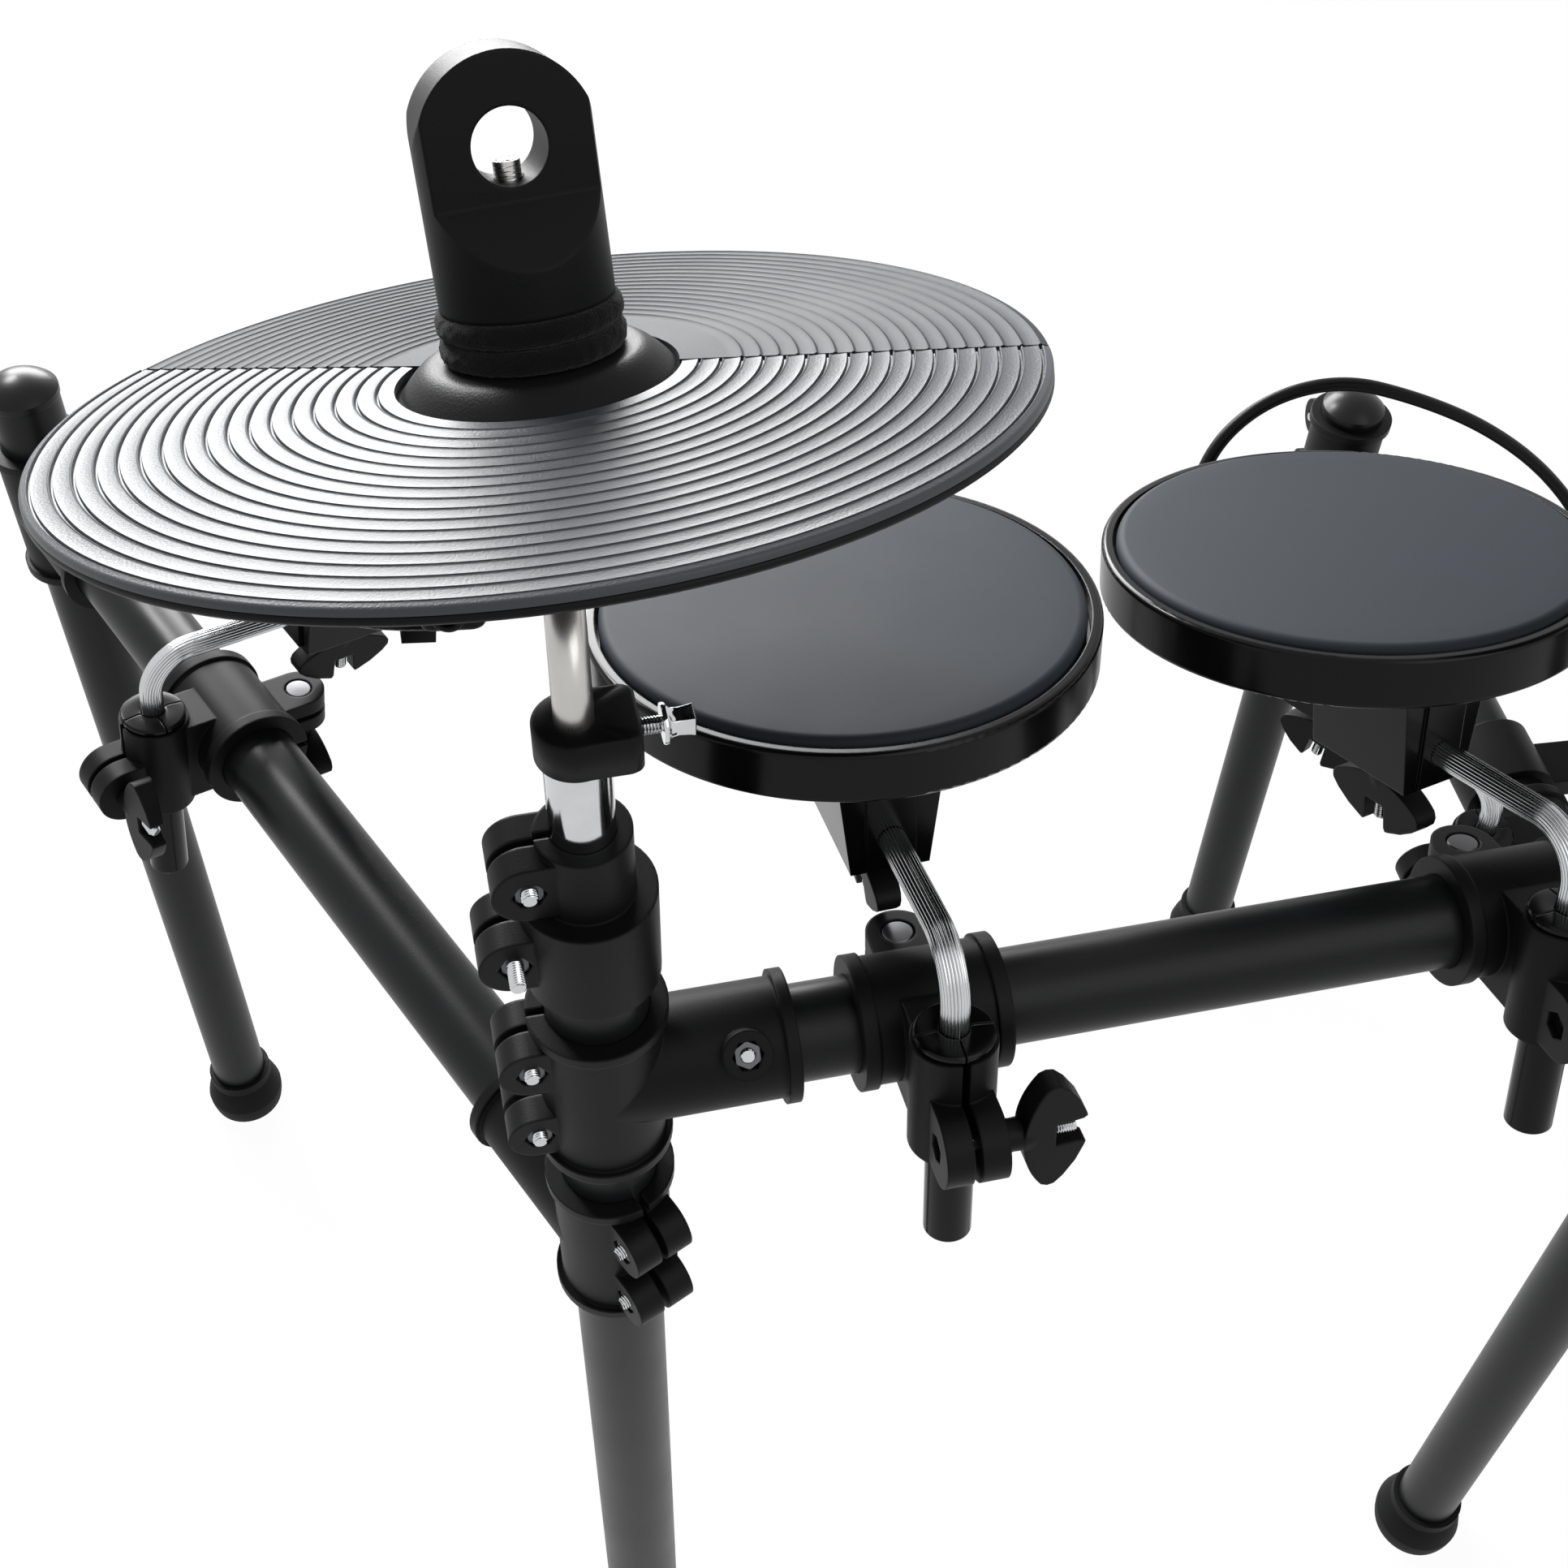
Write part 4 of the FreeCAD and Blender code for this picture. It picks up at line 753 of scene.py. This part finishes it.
def ribbed_sector(ribs, depth):
    """The rubber: flat ribs, each with a groove and a thin bead; its cut ends are scalloped rib by rib."""
    start, edge, layer, clear = 43.2, 150.6, 2.6, 0.05
    half_turn, gap, notch = math.radians(102), 1.0, 1.5
    pitch = (edge - start) / ribs
    step = np.array([0.0, 0.72, 0.77, 0.85, 0.89, 0.93, 0.97])
    lift = np.array([0.0, 0.0, -depth, -depth, 0.1, 0.28, 0.1])
    r = (start + pitch * (np.arange(ribs)[:, None] + step[None, :])).ravel()
    z = crown_height(r) + layer + np.tile(lift, ribs)
    rim = [(151.4, 5.75), (152.1, 5.3), (152.4, 4.6), (152.4, 3.25)]
    loop = list(zip(r, z)) + rim + [(start, crown_height(start) + clear)]
    radius = np.array(loop)[:, 0]
    scallop = notch * (1 - np.abs(np.sin(np.pi * (radius - start) / pitch)))
    return sector(loop, half_turn - (gap + scallop) / radius, count=150)


def ringed_sector(rings):
    """The plastic sector: a smooth slope with thin raised rings, and a plain zone next to the bell."""
    start, edge, layer, plain, sink = 42.2, 150.8, 2.1, 14.0, 0.2
    half_turn, gap = math.radians(78), 0.9
    pitch = (edge - start - plain) / rings
    step = np.array([0.0, 0.70, 0.76, 0.82, 0.88, 0.94])
    lift = np.array([0.0, 0.0, 0.25, 0.42, 0.25, 0.0])
    r = (start + plain + pitch * (np.arange(rings)[:, None] + step[None, :])).ravel()
    z = crown_height(r) + layer + np.tile(lift, rings)
    first = [(start, crown_height(start) + layer)]
    rim = [(151.5, 5.2), (152.2, 4.8), (152.4, 4.2), (152.4, 3.0)]
    loop = first + list(zip(r, z)) + rim + [(start, crown_height(start) - sink)]
    radius = np.array(loop)[:, 0]
    return sector(loop, half_turn - gap / radius, count=120)


class MakeFelts(KitOperator):
    """Makes the felt washers under and over each cymbal"""

    bl_idname = "drum_kit.felts"
    bl_label = "Felts"

    def execute(self, context):
        for index, name in enumerate(CYMBALS):
            arm, cymbal = name + "_arm", name + "_cymbal"
            place = cymbal_place(name)
            # Height of each washer's lower face, and the bodies under and over it
            rows = ((7.2, arm, cymbal), (18.5, cymbal, arm), (26.3, None, None))
            for row, (low, below, above) in enumerate(rows):
                shape = felt_shape(seed=index * len(rows) + row).at(place @ shift(0, 0, low))
                washer = meshed("%s_felt_%d" % (name, row + 1), shape, sharp=70.0)
                dressed(washer, "felt")
                if below is None:
                    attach(washer, arm)
                else:
                    ends = [(place @ (0, 0, height, 1))[:3] * MM for height in (low, low + FELT_THICK)]
                    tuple(ends[0])
                    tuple(ends[1])
                    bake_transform(washer)
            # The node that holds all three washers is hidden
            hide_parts(name + "_felts")
        return {"FINISHED"}


def felt_shape(seed):
    """A washer with soft edges: a turned loop whose points stray more, the further from the hole."""
    count, calm, fade, farthest = 120, 10, 14, (0.35, 0.35, 0.12)
    reach, bulge, half = 25.6, 2.2, 3.6
    t = np.linspace(-np.pi / 2, np.pi / 2, 9)
    edge = [(reach + bulge * math.cos(a), FELT_THICK / 2 + half * math.sin(a)) for a in t]
    loop = [(4.3, 0.4), (12.0, 0.15)] + edge + [(12.0, 7.35), (4.3, 7.1)]
    shape = turned_tube(loop, count)
    stray = np.random.default_rng(seed).uniform(-1.0, 1.0, (len(loop) + 1, count, 3))
    stray[-1] = stray[0]
    near = np.clip((np.linalg.norm(shape.points[:, :2], axis=1) - calm) / fade, 0.0, 1.0)
    moves = stray.reshape(-1, 3) * near[:, None] * farthest
    return Shape(shape.points + moves, shape.faces)


class MakeCymbalJacks(KitOperator):
    """Makes the jack housing under the near rim of each cymbal"""

    bl_idname = "drum_kit.cymbal_jacks"
    bl_label = "Cymbal jacks"

    def execute(self, context):
        length, socket_height, reach, jack_turn = 24, -3.2, 125, 23
        outline = rounded_box(length, width=16, corner=3)
        box = prism(outline, heights=(-8.5, -7.6, 2.2), scales=(0.92, 1.0, 1.0))
        socket = turned_tube([(2.9, -1.0), (4.6, -1.0), (4.6, 1.6), (4.2, 2.0), (2.9, 2.0)], count=32)
        housing = box + socket.at(shift(length / 2, 0, socket_height) @ turn("y", 90))
        for name, side in CYMBALS.items():
            place = cymbal_place(name) @ turn("z", -90 - jack_turn * side) @ shift(reach, 0, 0)
            jack = piece(name + "_jack", housing.at(place), name + "_cymbal", "nylon")
            eased(jack, width=0.5)
        return {"FINISHED"}


class MakePadRods(KitOperator):
    """Makes the bent rods of the pads with grooves along them"""

    bl_idname = "drum_kit.pad_rods"
    bl_label = "Pad rods"

    def execute(self, context):
        sizes = self.settings(context)[0]
        radius, foot, rise, bend, middle, reach = 5.5, -50, 38, 22, 60, 105
        t = circle(sizes.knurl_count * GROOVE_POINTS)
        r = radius - sizes.knurl_depth / MM * (0.5 - 0.5 * np.cos(sizes.knurl_count * t)) ** 2
        section = round_points(t) * r[:, None]
        angle = np.linspace(0.0, np.pi / 2, 19)
        arc = np.column_stack([0.0 * angle, bend - bend * np.cos(angle), rise + bend * np.sin(angle)])
        level = rise + bend
        path = np.concatenate([[(0, 0, foot), (0, 0, 0)], arc, [(0, middle, level), (0, reach, level)]])
        for pad in PADS:
            shape = swept(path, section, reference=(1.0, 0.0, 0.0)).at(rod_place(pad))
            piece(pad + "_knurled_rod", shape, pad + "_arm", "rod_chrome", [pad + "_rod"],
                  sharp=80.0)
        return {"FINISHED"}


class MakePadHeads(KitOperator):
    """Makes the rubber playing heads with a slight crown and a rolled edge"""

    bl_idname = "drum_kit.pad_heads"
    bl_label = "Pad heads"

    def execute(self, context):
        flat, roll, shoulder, low, rise = 90, 4, 65.6, 58.1, 0.4
        t = np.linspace(0.0, np.pi / 2, 10)
        edge = [(flat + roll * math.cos(a), shoulder + roll * math.sin(a)) for a in t]
        crown = [(r, shoulder + roll + rise * (1 - (r / flat) ** 2)) for r in (80, 65, 50, 35, 20, 8, 0)]
        profile = [(0, low), (93.6, low), (94, 58.6)] + edge + crown
        for pad in PADS:
            shape = turned(profile, count=160).at(pad_place(pad))
            head = piece(pad + "_playing_head", shape, pad + "_pad", "pad_rubber",
                         [pad + "_head"])
        return {"FINISHED"}


class MakeClampBolts(KitOperator):
    """Makes the bolts, nuts and screw heads of the tees, arm clamps and rail clamps"""

    bl_idname = "drum_kit.clamp_bolts"
    bl_label = "Clamp bolts"

    def execute(self, context):
        sizes = self.settings(context)[0]
        dia, pitch, depth = (size / MM for size in (sizes.bolt_dia, sizes.thread_pitch, sizes.thread_depth))
        bolts = []
        nuts = []
        for post, height, heading, side in TEES:
            tee = shift(*post, height) @ turn("z", heading)
            ears = [ear_faces(tee, EAR_REACH, EAR_HALF * side, ear) for ear in EAR_HEIGHTS]
            faces, backs = zip(*ears)
            bolts += [bolt_end(dia, EAR_PROUD, pitch, depth).at(face) for face in faces]
            bolts += [hex_head().at(back) for back in backs]
            boss = tee @ shift(BOSS_REACH, 0, 0) @ turn("x", BOSS_TURN) @ shift(0, 0, BOSS_HEIGHT)
            bolts.append(bolt_end(dia, BOSS_PROUD, pitch, depth).at(boss))
            nuts += [hex_nut(dia).at(place) for place in (*faces, boss)]
        for post, heading, side in ((RIGHT_POST, 0, 1), (LEFT_POST, 180, -1)):
            clamp = shift(*post, ARM_SEAT) @ turn("z", heading)
            for reach, height, proud in ARM_EARS:
                face, back = ear_faces(clamp, reach, -ARM_EAR_HALF * side, height)
                bolts += [bolt_end(dia, proud, pitch, depth).at(face), hex_head().at(back)]
                nuts.append(hex_nut(dia).at(face))
        nuts += [button_head().at(clamp_place(pad) @ shift(0, EAR_SCREW, EAR_TOP)) for pad in PADS]
        piece("clamp_bolts", joined(bolts), "rack", "chrome")
        piece("clamp_nuts", joined(nuts), "rack", "dark_steel")
        return {"FINISHED"}


def ear_faces(clamp, reach, across, height):
    """Places of the nut and of the bolt head on a clamp's ears, z outwards; the nut is at y = across."""
    outwards = math.copysign(90, across)
    nut = clamp @ shift(-reach, across, height) @ turn("x", -outwards)
    head = clamp @ shift(-reach, -across, height) @ turn("x", outwards)
    return nut, head


def bolt_end(dia, proud, pitch, depth):
    """A threaded bolt end that stands up from the floor of a recess, and proud of its face."""
    return threaded(dia, proud + RECESS, pitch, depth).at(shift(0, 0, -RECESS))


def hex_nut(dia):
    """A hexagon nut on the floor of a recess, with chamfered corners and a round hole."""
    t = circle(count=36)
    half_side = math.pi / 6
    reach = HEXAGON * math.cos(half_side) / np.cos((t + half_side) % (2 * half_side) - half_side)
    outline = round_points(t) * reach[:, None]
    return collar_ring(bore=dia / 2, outline=outline, heights=(-RECESS, -0.9), rounding=0.35)


def hex_head():
    """A hexagon bolt head that fills its recess, with a chamfered crown."""
    return prism(polygon(6, HEXAGON), heights=(-RECESS, 0.2, 0.7), scales=(1.0, 1.0, 0.9))


def button_head():
    """A low round screw head with a chamfer, turned."""
    return turned([(0, 0), (6.4, 0), (6.4, 1.3), (5.9, 1.8), (2.0, 2.0), (0, 2.0)], count=32)


class MakeCollars(KitOperator):
    """Makes the memory collars on the chrome tubes and their square-headed key screws"""

    bl_idname = "drum_kit.collars"
    bl_label = "Memory collars"

    def execute(self, context):
        radius, reach, height = 13.4, 20, 16
        left = round_points(np.radians(np.linspace(80, 280, 40))) * radius
        block = rounded_box(length=2 * reach, width=25.4, corner=4.0, count=8)
        right = block[block[:, 0] > 0]
        right = right[np.argsort(np.arctan2(right[:, 1], right[:, 0]))]
        outline = np.concatenate([right, left])
        thread = threaded(dia=6.0, length=8.5, pitch=1.0, depth=0.5).at(shift(0, 0, -1.0))
        profile = [(0, 7), (6.6, 7), (6.8, 7.6), (6.6, 8.4), (4.9, 9.6), (4.4, 11.0), (0, 11.0)]
        flange = turned(profile, count=32)
        square = rounded_box(length=6.6, width=6.6, corner=0.7)
        head = prism(square, heights=(10.5, 12.0, 15.5, 17.0, 17.4), scales=(1.06, 1.0, 1.08, 1.16, 1.02))
        screw = (thread + flange + head).at(shift(reach, 0, height / 2) @ turn("y", 90))
        ring = collar_ring(bore=6.4, outline=outline, heights=(0, height), rounding=1.3)
        places = [shift(*post, COLLAR_SEAT) for post in (RIGHT_POST, LEFT_POST)]
        collars = joined([ring.at(place) for place in places])
        screws = joined([screw.at(place) for place in places])
        piece("memory_collars", collars, "rack", "nylon", ["arm_collars"], sharp=50.0)
        piece("key_screws", screws, "rack", "chrome")
        return {"FINISHED"}


class MakeWingBolts(KitOperator):
    """Makes the wing bolts: half-moon grips with a notch, and the threads that show in it"""

    bl_idname = "drum_kit.wing_bolts"
    bl_label = "Wing bolts"

    def execute(self, context):
        grip = wing_grip()
        edge = 0.9
        for pad in PADS:
            pad_screw, rod_screw, _ = wing_places(pad)
            for name, place, start in (("pad", pad_screw, -9.0), ("rod", rod_screw, -21.0)):
                wing = "%s_%s" % (pad, name)
                body = wing + "_screw"
                shape = grip.at(place)
                made = piece(wing + "_grip", shape, body, "nylon", [wing + "_wing"])
                eased(made, edge)
                piece(body + "_thread", wing_thread(start).at(place), body, "chrome")
        places = [wing_places(pad)[2] for pad in PADS]
        grips = joined([grip.at(place) for place in places])
        eased(piece("rail_grips", grips, "rack", "nylon", ["rail_wing_bolts"]), edge)
        threads = joined([wing_thread(start=-16.5).at(place) for place in places])
        piece("rail_threads", threads, "rack", "chrome")
        stud = threaded(dia=8.3, length=8.3, pitch=1.25, depth=0.6)
        for name in CYMBALS:
            shape = stud.at(cymbal_place(name) @ shift(0, 0, STUD_SEAT))
            piece(name + "_stud_thread", shape, name + "_arm", "chrome")
        return {"FINISHED"}


def wing_thread(start):
    """A wing bolt's thread, from a start below its grip to the grip's notch."""
    return threaded(length=WING_TOP - start, **WING_THREAD).at(shift(0, 0, start))


def wing_grip():
    """A leaf-shaped plate, thinner outwards: an arc towards the stem and straight sides with a notch."""
    radius, middle, half_thick, thinning, low, height = 40.8, 48, 6.2, 0.44, 7.0, 25.0
    t = np.radians(np.linspace(-36, 36, 21))
    arc = np.column_stack([radius * np.sin(t), middle - radius * np.cos(t)])
    side = np.array((
        (25.4, 17.6), (25.2, 20.4), (22.0, 24.0), (15.5, 28.6),
        (8.2, 31.8), (6.6, 32.2), (5.6, 30.6), (5.2, 20.0),
    ))
    outline = np.concatenate([arc, side, side[::-1] * (-1, 1)])
    plate = prism(outline, heights=(-half_thick, half_thick), scales=(1.0, 1.0)).at(turn("x", 90))
    plate.points[:, 1] *= 1.0 - thinning * (plate.points[:, 2] - low) / height
    stem = turned([(0, 0), (6.3, 0), (6.6, 0.5), (6.2, 4.0), (6.4, 8.0), (5.2, 12.0), (0, 12.0)], count=32)
    return plate + stem


class MakeBushes(KitOperator):
    """Makes the split bushes that hold the pad rods"""

    bl_idname = "drum_kit.bushes"
    bl_label = "Rod bushes"

    def execute(self, context):
        tail = turned_tube([(5.6, -78), (9.0, -78), (9.5, -77.4), (9.5, 23.8), (5.6, 23.8)], count=40)
        loop = [(5.7, 24.1), (14.8, 24.1), (15.4, 24.7), (15.5, 26.6)]
        loop += [(14.7, 27.4), (7.4, 28.2), (5.7, 27.8)]
        half_slit = 0.35
        flange = sector(loop, math.pi / 4 - half_slit / np.array(loop)[:, 0], count=14)
        bush = joined([tail] + [flange.at(turn("z", angle)) for angle in (45, 135, 225, 315)])
        bushes = joined([bush.at(bush_place(pad)) for pad in PADS])
        piece("split_bushes", bushes, "rack", "gloss_plastic", ["rod_bushes"])
        return {"FINISHED"}


class MakeModuleParts(KitOperator):
    """Makes the fluted grip of the volume knob and its pointer"""

    bl_idname = "drum_kit.module_parts"
    bl_label = "Module parts"

    def execute(self, context):
        z = np.array(axis_of("volume_turn"))
        knob = framed("volume_turn", z, x_axis=np.cross((0.0, 0.0, 1.0), z))
        flutes = 20
        t = circle(flutes * GROOVE_POINTS)
        flute = 0.5 - 0.5 * np.cos(flutes * t)
        # Radius of each ring of the grip, and the depth of its flutes
        rows = ((14.6, 0.0), (15.0, 0.8), (13.9, 0.8), (13.0, 0.0))
        outlines = [round_points(t) * (r - deep * flute)[:, None] for r, deep in rows]
        grip = stacked(outlines, heights=(0.4, 1.2, 14.8, 16.0)).at(knob)
        piece("knob_grip", grip, "volume_knob", "control_plastic", ["volume_knob"])
        outline = rounded_box(length=1.6, width=8.0, corner=0.7)
        mark = prism(outline, heights=(15.5, 16.3), scales=(1.0, 1.0)).at(knob @ shift(0, 8.0, 0))
        piece("knob_pointer", mark, "volume_knob", "pale_mark")
        return {"FINISHED"}


class MakeStage(KitOperator):
    """Makes the floor, the soft light and the camera"""

    bl_idname = "drum_kit.stage"
    bl_label = "Stage"

    def execute(self, context):
        stage = self.settings(context)[2]
        scene = context.scene
        scene.view_settings.view_transform = "Standard"
        radius, top, low = 9000, -0.5, -20
        floor = meshed("floor", turned([(0, top), (radius, top), (radius, low), (0, low)], count=64))
        floor_finish("pale_floor", stage.floor)
        dressed(floor, "pale_floor")
        surroundings(scene, stage.ambient)
        for name, spot, aim, size in LAMPS:
            soft_box(name, getattr(stage, name + "_power"), spot, aim, size)
        camera = bpy.data.cameras.new("camera")
        camera.sensor_fit = "HORIZONTAL"
        camera.sensor_width = 36.0
        camera.lens = 45.886
        camera.clip_end = 50.0
        holder = bpy.data.objects.new("camera", camera)
        place = shift(*ORIGIN) @ np.array(CAMERA_PLACE)
        place[:3, 3] *= MM
        holder.matrix_world = Matrix(place.tolist())
        scene.collection.objects.link(holder)
        scene.camera = holder
        return {"FINISHED"}


def floor_finish(name, colour):
    """A pale floor that shows white to the camera and keeps a soft shadow."""
    glow_share = 0.97
    finish = Finish(name, {"Roughness": 0.9, "Specular IOR Level": 0.1})
    cloud = finish.noise(size=0.4)
    finish.feed("Base Color", finish.mixed(cloud, tinted(colour, 0.99), tinted(colour, 1.01)))
    surface = Value(finish, finish.shader.outputs[0])
    glow = finish.add("ShaderNodeEmission", None, {"Color": WHITE, "Strength": 1.0})
    share = finish.backdrop_ray() * glow_share
    both = finish.add("ShaderNodeMixShader", None, {0: share, 1: surface, 2: glow})
    finish.tree.links.new(both.socket, finish.output.inputs[0])


def surroundings(scene, ambient):
    """A white surround for the camera and for reflections, and a dimmer one for all other light."""
    world = bpy.data.worlds.new("surround")
    network = Network(world)
    strength = network.backdrop_ray() * (1.0 - ambient) + ambient
    light = network.add("ShaderNodeBackground", None, {"Color": WHITE, "Strength": strength})
    output = network.tree.nodes.new("ShaderNodeOutputWorld")
    network.tree.links.new(light.socket, output.inputs[0])
    scene.world = world


def soft_box(name, power, spot, aim, size):
    """A soft light at a spot, turned to face a point; its width and height are in metres."""
    light = bpy.data.lights.new(name, "AREA")
    light.energy = power
    light.shape = "RECTANGLE"
    light.size, light.size_y = size
    holder = bpy.data.objects.new(name, light)
    away = np.array(spot) - np.array(aim)
    z = away / np.linalg.norm(away)
    x = np.cross((0.0, 0.0, 1.0), z)
    x /= np.linalg.norm(x)
    holder.matrix_world = Matrix(axes_place(x, np.cross(z, x), z, spot).tolist())
    bpy.context.scene.collection.objects.link(holder)


class DrumKitPanel(bpy.types.Panel):
    bl_idname = "VIEW3D_PT_drum_kit"
    bl_label = "Drum kit"
    bl_space_type = "VIEW_3D"
    bl_region_type = "UI"
    bl_category = "Drum kit"

    def draw(self, context):
        for group in ("kit_sizes", "kit_colours", "kit_stage"):
            settings = getattr(context.scene, group)
            for name in type(settings).__annotations__:
                self.layout.prop(settings, name)
        for operator in OPERATORS:
            self.layout.operator(operator.bl_idname)


GROUPS = {"kit_sizes": KitSizes, "kit_colours": KitColours, "kit_stage": KitStage}
OPERATORS = (
    MakeStage,
    MakeFinishes,
    MakeLead,
    MakeCymbals,
    MakeFelts,
    MakeCymbalJacks,
    MakePadRods,
    MakePadHeads,
    MakeClampBolts,
    MakeCollars,
    MakeWingBolts,
    MakeBushes,
    MakeModuleParts,
)


def register():
    """Registers the settings, the operators and the panel."""
    for name, group in GROUPS.items():
        bpy.utils.register_class(group)
        setattr(bpy.types.Scene, name, bpy.props.PointerProperty(type=group))
    for operator in OPERATORS:
        bpy.utils.register_class(operator)
    bpy.utils.register_class(DrumKitPanel)


def unregister():
    """Removes what register added."""
    bpy.utils.unregister_class(DrumKitPanel)
    for operator in OPERATORS:
        bpy.utils.unregister_class(operator)
    for name, group in GROUPS.items():
        delattr(bpy.types.Scene, name)
        bpy.utils.unregister_class(group)


def main():
    """Runs every operator in order."""
    register()
    for operator in OPERATORS:
        family, name = operator.bl_idname.split(".")
        getattr(getattr(bpy.ops, family), name)()


if __name__ == "__main__":
    main()
